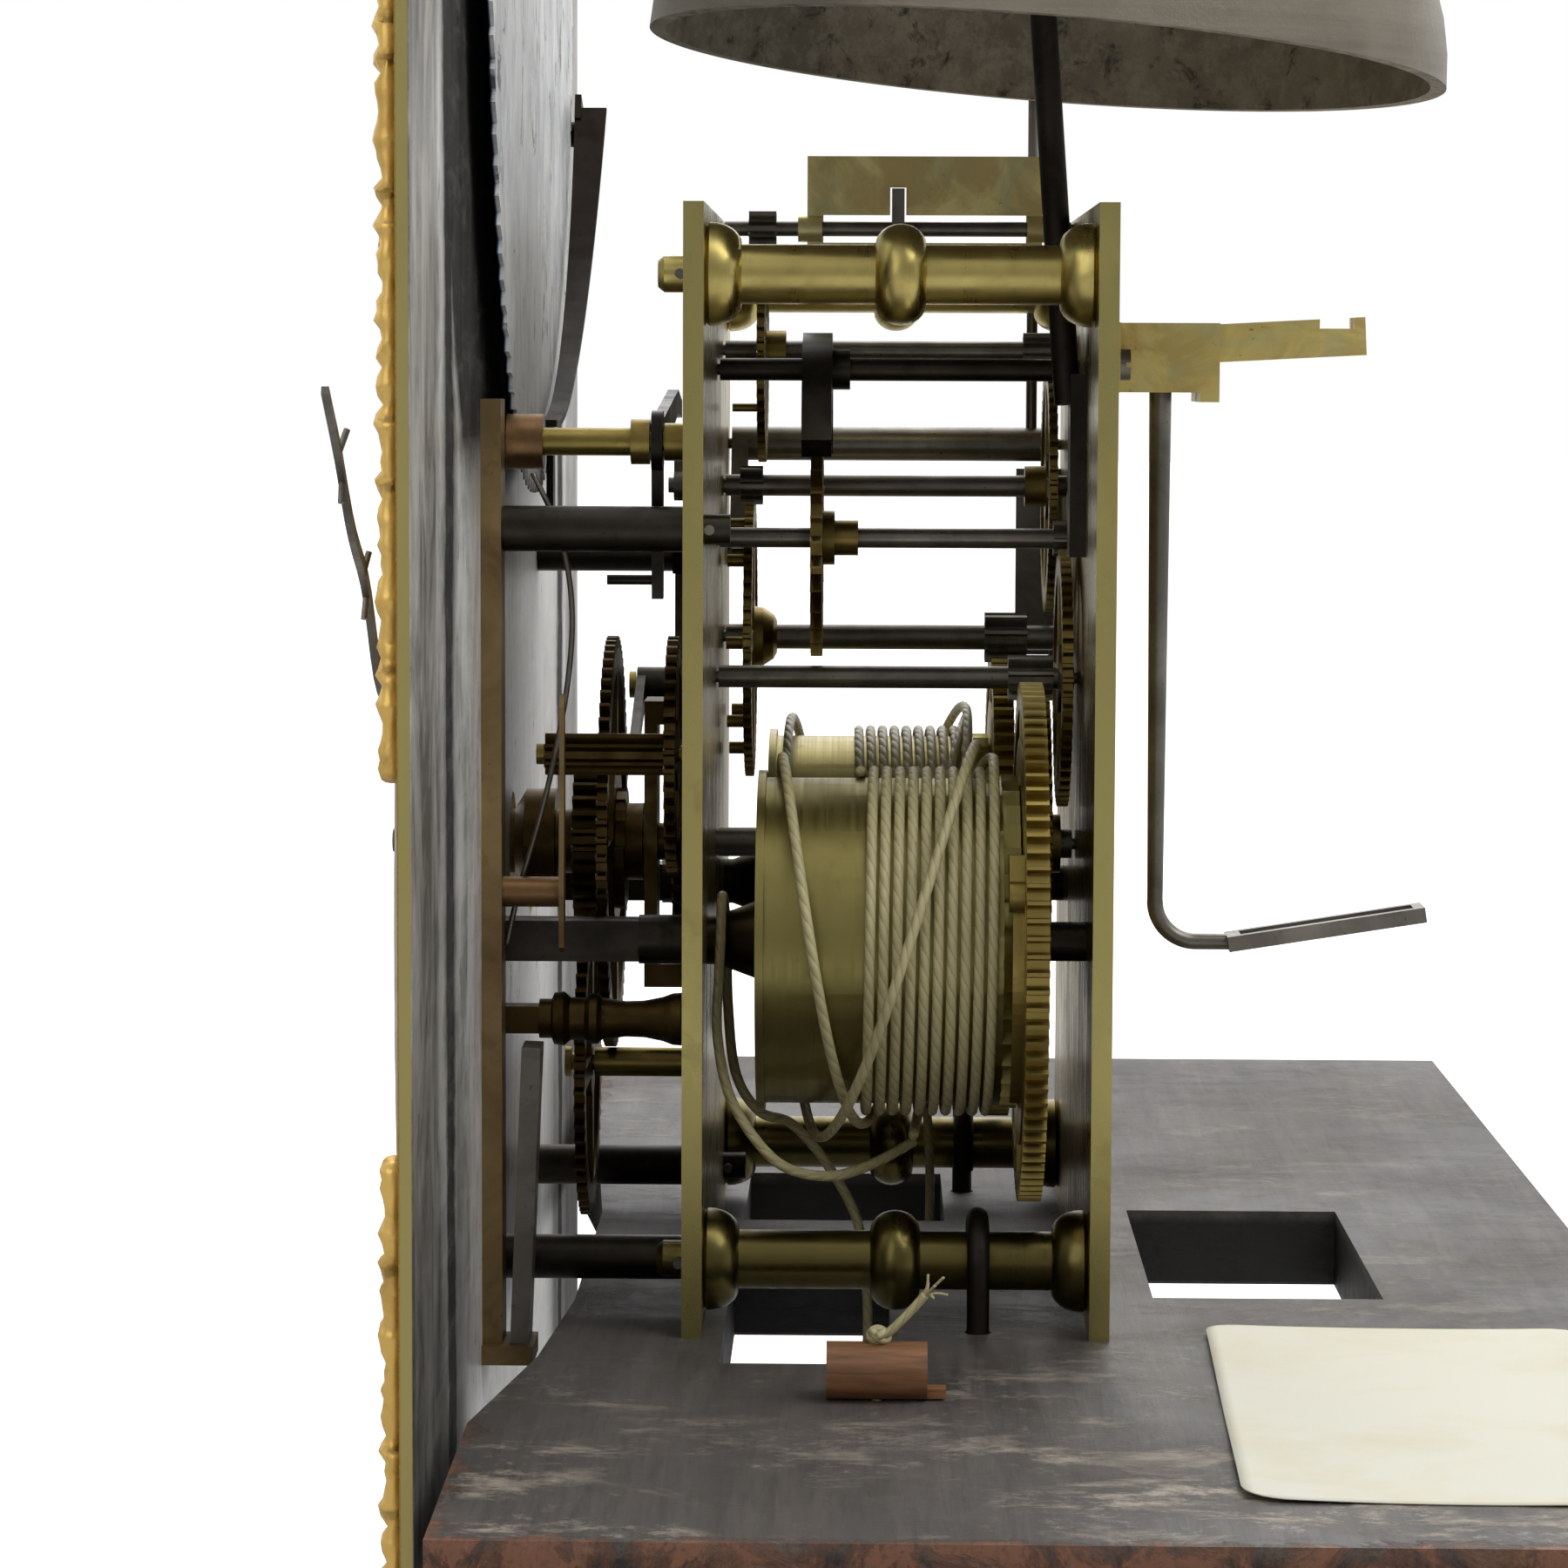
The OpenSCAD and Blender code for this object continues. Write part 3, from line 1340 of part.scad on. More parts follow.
module warning_arbor() {
    color("dimgray") at(warn) {
        train_arbor(arbor_r - 0.3, pivot_r);
        slab(back_in - 8.4, back_in - 1.6) leaves(small_n, gather_m, space_at(warn, gather, small_n));
    }
}

module warning_wheel() {
    color("goldenrod") at(warn) {
        train_wheel(warn_n, warn_m, warn_y, wheel_t - 0.4, 6, arbor_r - 0.3 + snug, heading(warn, fly));
        collet(warn_y + wheel_t - 0.4, warn_y + wheel_t + 3, 3.4, arbor_r - 0.3 + snug);
        rotate([0, 40, 0]) translate([15.6, 0, 0]) rod(front_in + 2, warn_y + 0.5, 0.7);
    }
}

fly_y = front_in + 14.8;

module fly_arbor() {
    color("dimgray") at(fly) {
        train_arbor(arbor_r - 0.6, pivot_r);
        slab(front_in + 4.6, front_in + 9.4) leaves(small_n, warn_m, space_at(fly, warn, small_n));
        translate([-0.4, fly_y + fly_l * 0.36, 0.6]) cube([2.4, 2.2, 6.4]);
    }
}

// Fly: a sheet with a notch for its spring and a small pipe at each end
module fly_vane() {
    color("goldenrod") at(fly) difference() {
        union() {
            translate([-fly_t / 2, fly_y, -fly_half]) cube([fly_t, fly_l, 2 * fly_half]);
            for (y = [fly_y - 1.6, fly_y + fly_l - 2.6]) rod(y, y + 4.2, 2.3);
        }
        rod(fly_y - 9, fly_y + fly_l + 9, arbor_r - 0.6 + snug);
        translate([-4, fly_y + fly_l * 0.36 - 0.3, 0.3]) cube([8, 2.8, 6.9]);
        translate([-4, fly_y + 2.8, -2.4]) cube([8, fly_l - 5.6, 4.8]);
    }
}

// Hammer: arbor, stem, head and the tail that the pins lift
module hammer() {
    stem_y = back_in - 5.6;
    head_z = bell_z + 4.5;
    face = bell_x - bell_r - hammer_gap;
    reach = norm(hammer_at - pinw) - lift_circle - 1.1 - 0.4;
    color([0.25, 0.24, 0.23]) {
        at(hammer_at) {
            rod(pin_y - 3.4, back_in - 3, hammer_r);
            rod(front_out + pivot_end, pin_y, pivot_r);
            rod(back_in - 6, back_out - pivot_end, pivot_r);
            slab(pin_y - 3.4, pin_y - 0.4) rotate(heading(hammer_at, pinw))
                polygon([[0, -3], [reach, -1.6], [reach, 1.6], [0, 3]]);
            translate([0, stem_y, 0]) cylinder(h = head_z - hammer_z, r = 1);
        }
        translate([-hammer_x - 3, stem_y, seat_t + head_z]) rotate([0, 90, 0])
            cylinder(h = face + hammer_x + 3, r = head_r);
    }
}

// Rack: toothed sector, arm and the tail that drops on the snail
module rack() {
    rack_r = norm(rack_at - gather) - gather_l - rack_gap;
    teeth = 13;
    sweep = 66;
    tail_l = norm(rack_at - centre) - 13;
    color("dimgray") at(rack_at) difference() {
        union() {
            slab(lever_y - lever_t, lever_y) {
                circle(r = 5);
                rotate(58) rotate_sector(rack_r - 7, rack_r - 2, sweep);
                rotate(58) polygon(concat([[rack_r - 4, 0]],
                    [for (i = [0 : teeth - 1], f = [[-2, 0], [0, 3.4]])
                    (rack_r + f[0]) * [cos(i * sweep / teeth + f[1]), sin(i * sweep / teeth + f[1])]],
                    [(rack_r - 4) * [cos(sweep), sin(sweep)]]));
                rotate(91) translate([0, -2.4]) square([rack_r - 4, 4.8]);
            }
            rod(lever_y - 8.6, lever_y, 3.2);
            slab(lever_y - 8.6, lever_y - 7) rotate(heading(rack_at, centre) + 14)
                polygon([[0, -2.6], [tail_l, -1.2], [tail_l, 1.2], [0, 2.6]]);
        }
        rod(lever_y - 10, lever_y + 1, stud_r + fit);
    }
}

// Lifting piece: hanging tail with its pin, and the arm towards the strike train
module lifting_piece() {
    color("dimgray") at(lifter_at) difference() {
        union() {
            slab(lever_y - lever_t, lever_y) {
                circle(r = 5);
                polygon([[-2.6, 0], [2.6, 0], [1, -21], [0.6, -25], [-2.6, -25], [-3, -21]]);
                polygon([[0, 3.6], [-60, 8], [-76, 6], [-76, 3], [-60, 4], [0, -2.6]]);
            }
            translate([-1, 0, -22]) rod(lever_y - 9, lever_y - 0.5, 0.8);
        }
        rod(lever_y - 4, lever_y + 1, stud_r + fit);
    }
}

// Moon disc with saw teeth on its rim
module moon_disc() {
    color("slategray") at(moon_at) difference() {
        union() {
            slab(dial_back + 3.5, dial_back + 4.3)
                polygon([for (i = [0 : moon_n - 1], f = [[moon_r, 0], [moon_r - 2.2, 0.6]])
                    let (a = i * 360 / moon_n + f[1]) f[0] * [cos(a), sin(a)]]);
            rod(dial_back + 3.5, dial_back + 5.3, 8);
        }
        rod(dial_back, dial_back + 7, 4);
    }
}

seatboard();
seat_hooks();
front_plate();
back_plate();
pillars();
taper_pins();
back_cock();
cock_screws();
bell_stand();
bell();
dial_plate();
dial_feet();
dial_strap();
chapter_ring();
spandrels();
moon_guard();
hour_bridge();
front_studs();
date_post();
blade_springs();
line_peg();
going_fall();
strike_fall();
going_great_wheel();
going_click();
going_barrel();
going_arbor();
going_winding();
strike_great_wheel();
strike_click();
strike_barrel();
strike_arbor();
strike_winding();
centre_arbor();
centre_wheel();
cannon_wheel();
minute_hand();
third_arbor();
third_wheel();
escape_arbor();
escape_wheel();
seconds_hand();
pallets();
crutch();
minute_wheel();
hour_wheel();
hour_hand();
date_wheel();
pin_arbor();
pin_wheel();
gathering_arbor();
gathering_wheel();
warning_arbor();
warning_wheel();
fly_arbor();
fly_vane();
hammer();
rack();
lifting_piece();
moon_disc();
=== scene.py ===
"""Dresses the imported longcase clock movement: finishes, gut lines, dial work and studio."""

import math
import random

import bmesh
import bpy
from bpy.props import FloatProperty, FloatVectorProperty, IntProperty, PointerProperty
from mathutils import Matrix, Vector


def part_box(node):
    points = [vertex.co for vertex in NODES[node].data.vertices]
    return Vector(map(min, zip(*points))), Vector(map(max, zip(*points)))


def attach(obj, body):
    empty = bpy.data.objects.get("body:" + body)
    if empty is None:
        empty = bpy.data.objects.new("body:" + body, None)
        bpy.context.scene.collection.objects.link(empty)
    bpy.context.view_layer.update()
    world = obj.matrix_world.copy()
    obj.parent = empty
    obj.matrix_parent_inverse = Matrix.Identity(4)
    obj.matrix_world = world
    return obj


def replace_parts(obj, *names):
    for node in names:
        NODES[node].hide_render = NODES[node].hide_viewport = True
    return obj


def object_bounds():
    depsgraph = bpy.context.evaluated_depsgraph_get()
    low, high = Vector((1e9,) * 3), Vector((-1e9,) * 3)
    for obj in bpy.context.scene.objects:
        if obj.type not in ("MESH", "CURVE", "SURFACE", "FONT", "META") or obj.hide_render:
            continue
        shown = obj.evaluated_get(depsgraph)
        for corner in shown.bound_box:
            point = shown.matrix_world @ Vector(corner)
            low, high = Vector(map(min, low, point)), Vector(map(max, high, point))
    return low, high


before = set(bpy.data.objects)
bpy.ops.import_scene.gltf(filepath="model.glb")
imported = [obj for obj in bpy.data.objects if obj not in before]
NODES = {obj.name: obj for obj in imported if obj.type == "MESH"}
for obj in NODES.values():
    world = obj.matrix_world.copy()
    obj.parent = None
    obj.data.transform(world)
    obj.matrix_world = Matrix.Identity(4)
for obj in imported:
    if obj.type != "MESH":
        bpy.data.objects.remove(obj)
CAD_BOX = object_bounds()

bl_info = {
    "name": "Longcase clock movement",
    "version": (1, 0, 0),
    "blender": (4, 5, 0),
    "location": "View3D > Sidebar > Clock",
    "description": "Finishes, lines, dial work and studio for a longcase clock movement",
    "category": "Object",
}

MM = 0.001
ARBORS = ("centre_arbor", "third_arbor", "escape_arbor", "pin_arbor", "gathering_arbor", "warning_arbor",
          "fly_arbor")
CRISP_ANGLE = 34  # degrees; sharper edges stay edges on turned pieces


def hexed(code):
    """Linear colour from a six-digit display colour."""
    parts = [int(code[i:i + 2], 16) / 255 for i in (0, 2, 4)]
    return tuple(c / 12.92 if c <= 0.04045 else ((c + 0.055) / 1.055) ** 2.4 for c in parts)


def colour_prop(name, text, code):
    return FloatVectorProperty(name=name, description=text, subtype="COLOR", size=3, min=0, max=1,
                               default=hexed(code))


def length_prop(name, text, value):
    return FloatProperty(name=name, description=text, default=value, min=0, unit="LENGTH")


class ClockFinishes(bpy.types.PropertyGroup):
    """Colours of the finishes."""
    plate: colour_prop("Plate brass", "Brass of the plates", "AF9D62")
    pillar: colour_prop("Pillar brass", "Brass of the pillars", "D2C077")
    edge: colour_prop("Plate edge", "Bright filed edges of the plates", "B3A76A")
    # Brown tarnish, darkened further as painted shade, for the wheels behind the dial.
    motion_shaded: colour_prop("Motion brass", "Brown brass of the wheels behind the dial", "5E4C2B")
    copper: colour_prop("Copper", "Copper collars of the studs behind the dial", "9C7D58")
    wheel: colour_prop("Wheel brass", "Brass of the wheels", "8E7C46")
    great: colour_prop("Great wheel brass", "Brass of the great wheels, clicks and front studs", "AD9A58")
    fly: colour_prop("Fly brass", "Stained sheet of the fly", "F2E29A")
    cock: colour_prop("Cock brass", "Stained brass of the back cock", "DCC97C")
    drum: colour_prop("Drum brass", "Brass of the barrels", "948A55")
    steel: colour_prop("Steel", "Steel of arbors, hammer, crutch and hands", "8C8880")
    dark_steel: colour_prop("Dark steel", "Darkened steel of dial feet, barrel arbors and levers", "48443D")
    iron: colour_prop("Iron", "Forged iron of the hooks, bell stand and moon guard", "3D3935")
    strap: colour_prop("Strap brass", "Brown tarnished strap behind the dial", "A28B62")
    bell: colour_prop("Bell metal", "Outside of the bell", "8B8375")
    gilt: colour_prop("Gilding", "Gilt of the corner castings", "F3CB74")
    silver: colour_prop("Silvering", "Silvered chapter ring", "D5D3CB")
    dial: colour_prop("Dial brass", "Front of the dial plate", "B0914C")
    dial_back: colour_prop("Dial back", "Scraped back of the dial plate", "F0EFEC")
    board: colour_prop("Board", "Weathered wood of the seatboard", "4C4743")
    peg: colour_prop("Peg", "Bare wood of the line peg", "835A39")
    line: colour_prop("Gut line", "Gut line", "C6BC8E")
    paper: colour_prop("Paper", "Bare paper label", "DCDACB")
    sky: colour_prop("Moon sky", "Painted sky of the moon disc", "27405E")


class ClockSizes(bpy.types.PropertyGroup):
    """Sizes of the pieces made here."""
    line_d: length_prop("Line diameter", "Diameter of the gut line", 0.0017)
    line_sides: IntProperty(name="Line sides", description="Sides of the line's round section",
                            default=10, min=6, max=24)
    label_w: length_prop("Label width", "Width of the paper label", 0.115)
    label_d: length_prop("Label depth", "Depth of the paper label", 0.059)
    floor_size: length_prop("Floor", "Width of the studio floor", 24.0)
    focal_mm: FloatProperty(name="Focal length", description="Camera's focal length in millimetres",
                            default=106.87, min=20)


def finishes():
    return bpy.context.scene.clock_finishes


def sizes():
    return bpy.context.scene.clock_sizes


# Shader helpers

class Shade:
    """A material's node tree with short ways to add to it."""

    def __init__(self, name):
        self.mat = bpy.data.materials.new(name)
        self.mat.use_nodes = True
        self.tree = self.mat.node_tree
        self.tree.nodes.clear()
        out = self.add("ShaderNodeOutputMaterial")
        self.bsdf = self.add("ShaderNodeBsdfPrincipled")
        self.link(self.bsdf.outputs["BSDF"], out.inputs["Surface"])

    def add(self, kind, **settings):
        node = self.tree.nodes.new(kind)
        for key, value in settings.items():
            setattr(node, key, value)
        return node

    def link(self, a, b):
        self.tree.links.new(a, b)

    def put(self, value, socket):
        """Links a socket, or sets a value."""
        if isinstance(value, bpy.types.NodeSocket):
            self.link(value, socket)
        elif hasattr(value, "__len__") and len(value) == 3 and socket.type == "RGBA":
            socket.default_value = (*value, 1.0)
        else:
            socket.default_value = value

    def coords(self, scale=(1, 1, 1), move=(0, 0, 0), turn=(0, 0, 0)):
        place = self.add("ShaderNodeTexCoord")
        mapping = self.add("ShaderNodeMapping")
        mapping.inputs["Location"].default_value = move
        mapping.inputs["Rotation"].default_value = turn
        mapping.inputs["Scale"].default_value = scale
        self.link(place.outputs["Object"], mapping.inputs["Vector"])
        return mapping.outputs["Vector"]

    def noise(self, vector, scale, detail=5.0, rough=0.55, twist=0.0):
        node = self.add("ShaderNodeTexNoise")
        self.link(vector, node.inputs["Vector"])
        node.inputs["Scale"].default_value = scale
        node.inputs["Detail"].default_value = detail
        node.inputs["Roughness"].default_value = rough
        node.inputs["Distortion"].default_value = twist
        return node.outputs["Fac"]

    def span(self, value, low, high, to_low=0.0, to_high=1.0):
        node = self.add("ShaderNodeMapRange")
        self.put(value, node.inputs["Value"])
        for key, number in zip(("From Min", "From Max", "To Min", "To Max"), (low, high, to_low, to_high)):
            node.inputs[key].default_value = number
        return node.outputs["Result"]

    def mix(self, share, a, b):
        node = self.add("ShaderNodeMix", data_type="RGBA")
        self.put(share, node.inputs["Factor"])
        self.put(a, node.inputs["A"])
        self.put(b, node.inputs["B"])
        return node.outputs["Result"]

    def sum(self, op, a, b=0.5):
        node = self.add("ShaderNodeMath", operation=op)
        self.put(a, node.inputs[0])
        self.put(b, node.inputs[1])
        return node.outputs[0]

    def split(self, vector):
        node = self.add("ShaderNodeSeparateXYZ")
        self.link(vector, node.inputs[0])
        return node.outputs

    def bump(self, height, strength, distance, under=None):
        node = self.add("ShaderNodeBump")
        node.inputs["Strength"].default_value = strength
        node.inputs["Distance"].default_value = distance
        self.link(height, node.inputs["Height"])
        if under is not None:
            self.link(under, node.inputs["Normal"])
        return node.outputs["Normal"]

    def finish(self, colour, roughness, normal=None, metallic=0.0):
        self.put(colour, self.bsdf.inputs["Base Color"])
        self.put(roughness, self.bsdf.inputs["Roughness"])
        self.bsdf.inputs["Metallic"].default_value = metallic
        if normal is not None:
            self.link(normal, self.bsdf.inputs["Normal"])
        return self.mat


def scaled(colour, k):
    return tuple(min(1.0, c * k) for c in colour)


def tinted(colour, tint, share):
    return tuple(a + (b - a) * share for a, b in zip(colour, tint))


def worked_metal(name, colour, tarnish, roughness, brush=(40, 40, 900), spots=0.5, grime_and_shade=0.45, relief=0.00002,
                 streak=0.22, edge=None, painted_low_shade=None, metallic=1.0):
    """Brushed metal with tarnish, dark spots and dirt blotches; if asked, filed edges, and painted shade low
    down.
    """
    s = Shade(name)
    here = s.coords()
    lines = s.noise(s.coords(scale=brush), 1.0, 4.0, 0.6)
    drift = s.span(s.noise(here, 38, 6.0, 0.6, 0.6), 0.35, 0.72)
    blotch = s.span(s.noise(here, 150, 7.0, 0.65, 0.3), 0.56, 0.74)
    speck = s.span(s.noise(here, 900, 3.0, 0.6), 0.66, 0.74)
    base = s.mix(drift, tuple(colour), tuple(tarnish))
    base = s.mix(s.sum("MULTIPLY", blotch, grime_and_shade), base, scaled(tarnish, 0.45))
    base = s.mix(s.sum("MULTIPLY", speck, spots), base, scaled(tarnish, 0.25))
    base = s.mix(s.span(lines, 0.3, 0.7, 0.0, streak), base, scaled(colour, 0.6))
    if edge is not None:
        facing = s.sum("ABSOLUTE", s.split(s.add("ShaderNodeTexCoord").outputs["Normal"])[1], 0.0)
        bright = s.mix(s.sum("MULTIPLY", blotch, 0.3), tuple(edge), tuple(tarnish))
        base = s.mix(s.span(facing, 0.7, 0.9), bright, base)
    # Painted shade: darker towards the bottom, below the given heights.
    if painted_low_shade is not None:
        thick, clear, share = painted_low_shade
        base = s.mix(s.span(s.split(here)[2], thick, clear, share, 0.0), base, scaled(tarnish, 0.16))
    rough = s.sum("ADD", s.span(lines, 0.3, 0.7, roughness - 0.07, roughness + 0.1),
                  s.sum("MULTIPLY", s.sum("ADD", drift, blotch), 0.09))
    normal = s.bump(lines, 0.35, relief)
    return s.finish(base, rough, normal, metallic)


def stained_brass(name, colour, metallic):
    """Thin brass sheet with rainbow stains and dark pits."""
    s = Shade(name)
    here = s.coords()
    warm = s.span(s.noise(here, 55, 6.0, 0.62, 1.4), 0.44, 0.58)
    green = s.span(s.noise(s.coords(move=(3, 1, 2)), 75, 6.0, 0.64, 1.1), 0.5, 0.62)
    pit = s.span(s.noise(here, 420, 5.0, 0.7), 0.64, 0.72)
    base = s.mix(s.sum("MULTIPLY", warm, 0.45), tuple(colour), hexed("A98544"))
    base = s.mix(s.sum("MULTIPLY", green, 0.4), base, hexed("B4BC92"))
    base = s.mix(s.sum("MULTIPLY", pit, 0.7), base, hexed("4A3B20"))
    return s.finish(base, s.span(warm, 0.0, 1.0, 0.3, 0.45), s.bump(pit, 0.4, 0.00005), metallic)


def dress(mat, *names):
    """Gives CAD nodes a material."""
    for name in names:
        mesh = NODES[name].data
        mesh.materials.clear()
        mesh.materials.append(mat)


def soften(width, *names):
    """Breaks the sharp edges of CAD nodes a little, as filing does."""
    for name in names:
        bevel = NODES[name].modifiers.new("broken_edges", "BEVEL")
        bevel.width = width
        bevel.segments = 2
        bevel.limit_method = "ANGLE"
        bevel.angle_limit = math.radians(50)
        bevel.harden_normals = False


def turn_smooth(angle, *names):
    """Shades turned CAD nodes round, keeping edges sharper than the angle."""
    for name in names:
        node = NODES[name]
        node.data.normals_split_custom_set([(0.0, 0.0, 0.0)] * len(node.data.loops))
        node.data.shade_smooth()
        node.modifiers.new("joined_facets", "WELD").merge_threshold = 0.000002
        split = node.modifiers.new("crisp_edges", "EDGE_SPLIT")
        split.split_angle = math.radians(angle)
        split.use_edge_sharp = False


# Mesh helpers

def new_object(name, mesh, mat, body):
    obj = bpy.data.objects.new(name, mesh)
    bpy.context.scene.collection.objects.link(obj)
    mesh.materials.append(mat)
    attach(obj, body)
    return obj


def mesh_from(name, verts, faces, smooth=False):
    mesh = bpy.data.meshes.new(name)
    mesh.from_pydata([tuple(v) for v in verts], [], faces)
    mesh.validate()
    mesh.update()
    if smooth:
        mesh.shade_smooth()
    return mesh


def tube_mesh(name, path, radius, sides):
    """Closed round tube along a path, with UVs along and round it; one radius, or a list of them."""
    points = [Vector(p) for p in path]
    count = len(points)
    tangents = []
    for i in range(count):
        tangents.append((points[min(i + 1, count - 1)] - points[max(i - 1, 0)]).normalized())
    side = tangents[0].orthogonal().normalized()
    verts, along, run = [], [], 0.0
    for i, (point, tangent) in enumerate(zip(points, tangents)):
        side = (side - tangent * side.dot(tangent)).normalized()
        other = tangent.cross(side)
        if i:
            run += (point - points[i - 1]).length
        along.append(run)
        r = radius[i] if isinstance(radius, list) else radius
        for k in range(sides):
            a = 2 * math.pi * k / sides
            verts.append(point + r * (math.cos(a) * side + math.sin(a) * other))
    faces = []
    for i in range(count - 1):
        for k in range(sides):
            a, b = i * sides + k, i * sides + (k + 1) % sides
            faces.append((a, b, b + sides, a + sides))
    faces.append(tuple(reversed(range(sides))))
    faces.append(tuple(range((count - 1) * sides, count * sides)))
    mesh = mesh_from(name, verts, faces, smooth=True)
    uv = mesh.uv_layers.new(name="strand")
    for face in mesh.polygons:
        for loop in face.loop_indices:
            i, k = divmod(mesh.loops[loop].vertex_index, sides)
            uv.data[loop].uv = (along[i] * 100, k / sides)
    return mesh, along[-1]


def blend_four(a, b, c, d, u):
    """Place between b and c on the curve through four points."""
    return 0.5 * (2 * b + (c - a) * u + (2 * a - 5 * b + 4 * c - d) * u ** 2
                  + (3 * b - a - 3 * c + d) * u ** 3)


def smooth_path(points, steps):
    """Smooth curve through points."""
    pts = [Vector(p) for p in points]
    last = len(pts) - 1
    path = []
    for i in range(last):
        a, b, c, d = pts[max(i - 1, 0)], pts[i], pts[i + 1], pts[min(i + 2, last)]
        for k in range(steps):
            path.append(blend_four(a, b, c, d, k / steps))
    path.append(pts[last])
    return path


def prism(bm, outline, y_front, y_back):
    """Adds an outline in X and Z, extruded from y_front to y_back."""
    front = [bm.verts.new((x, y_front, z)) for x, z in outline]
    back = [bm.verts.new((x, y_back, z)) for x, z in outline]
    count = len(outline)
    bm.faces.new(front)
    bm.faces.new(list(reversed(back)))
    for i in range(count):
        j = (i + 1) % count
        bm.faces.new((front[j], front[i], back[i], back[j]))


def mesh_of(name, bm):
    bmesh.ops.recalc_face_normals(bm, faces=bm.faces)
    mesh = bpy.data.meshes.new(name)
    bm.to_mesh(mesh)
    bm.free()
    return mesh


# Finishes

def line_finish():
    """Pale twisted gut, with painted shade in the grooves between its strands."""
    s = Shade("gut_line")
    f = finishes()
    uv = s.add("ShaderNodeUVMap", uv_map="strand").outputs["UV"]
    parts = s.split(uv)
    twist, strands = 11.0, 3 * math.pi
    turn = s.sum("ADD", s.sum("MULTIPLY", parts[0], twist), s.sum("MULTIPLY", parts[1], strands))
    strand = s.sum("ABSOLUTE", s.sum("SINE", turn), 0.0)
    here = s.coords()
    stain = s.span(s.noise(here, 60, 5.0), 0.4, 0.7)
    base = s.mix(stain, tuple(f.line), scaled(f.line, 0.78))
    # Painted shade in the grooves between the strands.
    base = s.mix(s.span(strand, 0.0, 0.35, 0.55, 0.0), base, hexed("8A7C4E"))
    s.bsdf.inputs["Subsurface Weight"].default_value = 0.08
    s.bsdf.inputs["Subsurface Radius"].default_value = (0.0012, 0.0009, 0.0005)
    return s.finish(base, 0.45, s.bump(strand, 0.45, 0.0003))


def board_finish():
    """Grey-brown weathered wood with grain, rubbed patches, dark stains and reddish chipped edges, and
    painted shade on the faces below the top.
    """
    s = Shade("weathered_board")
    f = finishes()
    low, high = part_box("seatboard")
    here = s.coords()
    x, y, z = s.split(here)
    grain = s.noise(s.coords(scale=(14, 190, 190)), 1.0, 8.0, 0.65, 0.4)
    patch = s.span(s.noise(here, 11, 7.0, 0.62, 0.5), 0.42, 0.66)
    fine = s.span(s.noise(s.coords(scale=(60, 900, 900)), 1.0, 5.0, 0.7), 0.5, 0.72)
    scuff = s.span(s.noise(s.coords(scale=(80, 40, 100)), 1.0, 9.0, 0.78, 0.3), 0.5, 0.6)
    patchy = s.span(s.noise(s.coords(move=(2, 5, 1)), 20, 6.0, 0.66, 0.6), 0.44, 0.6)
    where = s.sum("MULTIPLY", patchy, s.span(x, 0.06, high[0] - 0.02, 0.25, 1.0))
    dust = s.span(s.noise(s.coords(move=(5, 0, 0)), 260, 8.0, 0.75), 0.56, 0.7)
    dark = s.span(s.noise(s.coords(move=(1, 3, 7)), 17, 7.0, 0.68, 0.9), 0.54, 0.7)
    ragged = s.sum("MULTIPLY", s.noise(here, 70, 8.0, 0.75, 0.7), 0.022)
    chipped = (0.0105, 0.0135, 1.0, 0.0)
    ends = s.span(s.sum("ADD", s.sum("SUBTRACT", high[0], x), ragged), *chipped)
    edges = s.span(s.sum("ADD", s.sum("SUBTRACT", y, low[1]), ragged), *chipped)
    chips = s.span(s.noise(here, 120, 8.0, 0.7, 0.8), 0.72, 0.76)
    warm = s.sum("MAXIMUM", s.sum("MAXIMUM", ends, edges), chips)
    base = s.mix(patch, scaled(f.board, 0.55), scaled(f.board, 1.05))
    base = s.mix(s.span(grain, 0.38, 0.66, 0.0, 0.6), base, scaled(f.board, 1.6))
    base = s.mix(s.sum("MULTIPLY", fine, 0.5), base, scaled(f.board, 0.4))
    base = s.mix(s.sum("MULTIPLY", dark, 0.75), base, scaled(f.board, 0.3))
    base = s.mix(s.sum("MULTIPLY", s.sum("MULTIPLY", scuff, where), 0.95), base, hexed("A59A8A"))
    base = s.mix(s.sum("MULTIPLY", s.sum("MULTIPLY", dust, where), 0.6), base, hexed("B5AEA4"))
    # Painted shade: near-black on the upright faces below the top, such as the slot walls.
    slot_shade = s.span(z, high[2] - 0.0024, high[2] - 0.0008, 1.0, 0.0)
    slot_shade = s.sum("MULTIPLY", slot_shade, s.span(z, 0.0002, 0.0006))
    slot_shade = s.sum("MULTIPLY", slot_shade, s.span(x, low[0] + 0.002, low[0] + 0.004))
    slot_shade = s.sum("MULTIPLY", slot_shade, s.span(y, high[1] - 0.004, high[1] - 0.002, 1.0, 0.0))
    base = s.mix(s.sum("MULTIPLY", slot_shade, 0.96), base, scaled(f.board, 0.06))
    base = s.mix(s.sum("MULTIPLY", warm, 0.85), base, s.mix(fine, hexed("7A4E34"), hexed("4E3424")))
    rough = s.span(patch, 0.0, 1.0, 0.5, 0.72)
    normal = s.bump(grain, 0.5, 0.0004)
    normal = s.bump(scuff, 0.4, 0.0003, normal)
    normal = s.bump(warm, 0.8, 0.0008, normal)
    return s.finish(base, rough, normal)


def peg_finish():
    s = Shade("peg_wood")
    f = finishes()
    grain = s.noise(s.coords(scale=(700, 60, 700)), 1.0, 6.0, 0.6, 0.5)
    base = s.mix(s.span(grain, 0.3, 0.7), scaled(f.peg, 0.55), scaled(f.peg, 1.35))
    return s.finish(base, 0.6, s.bump(grain, 0.5, 0.0002))


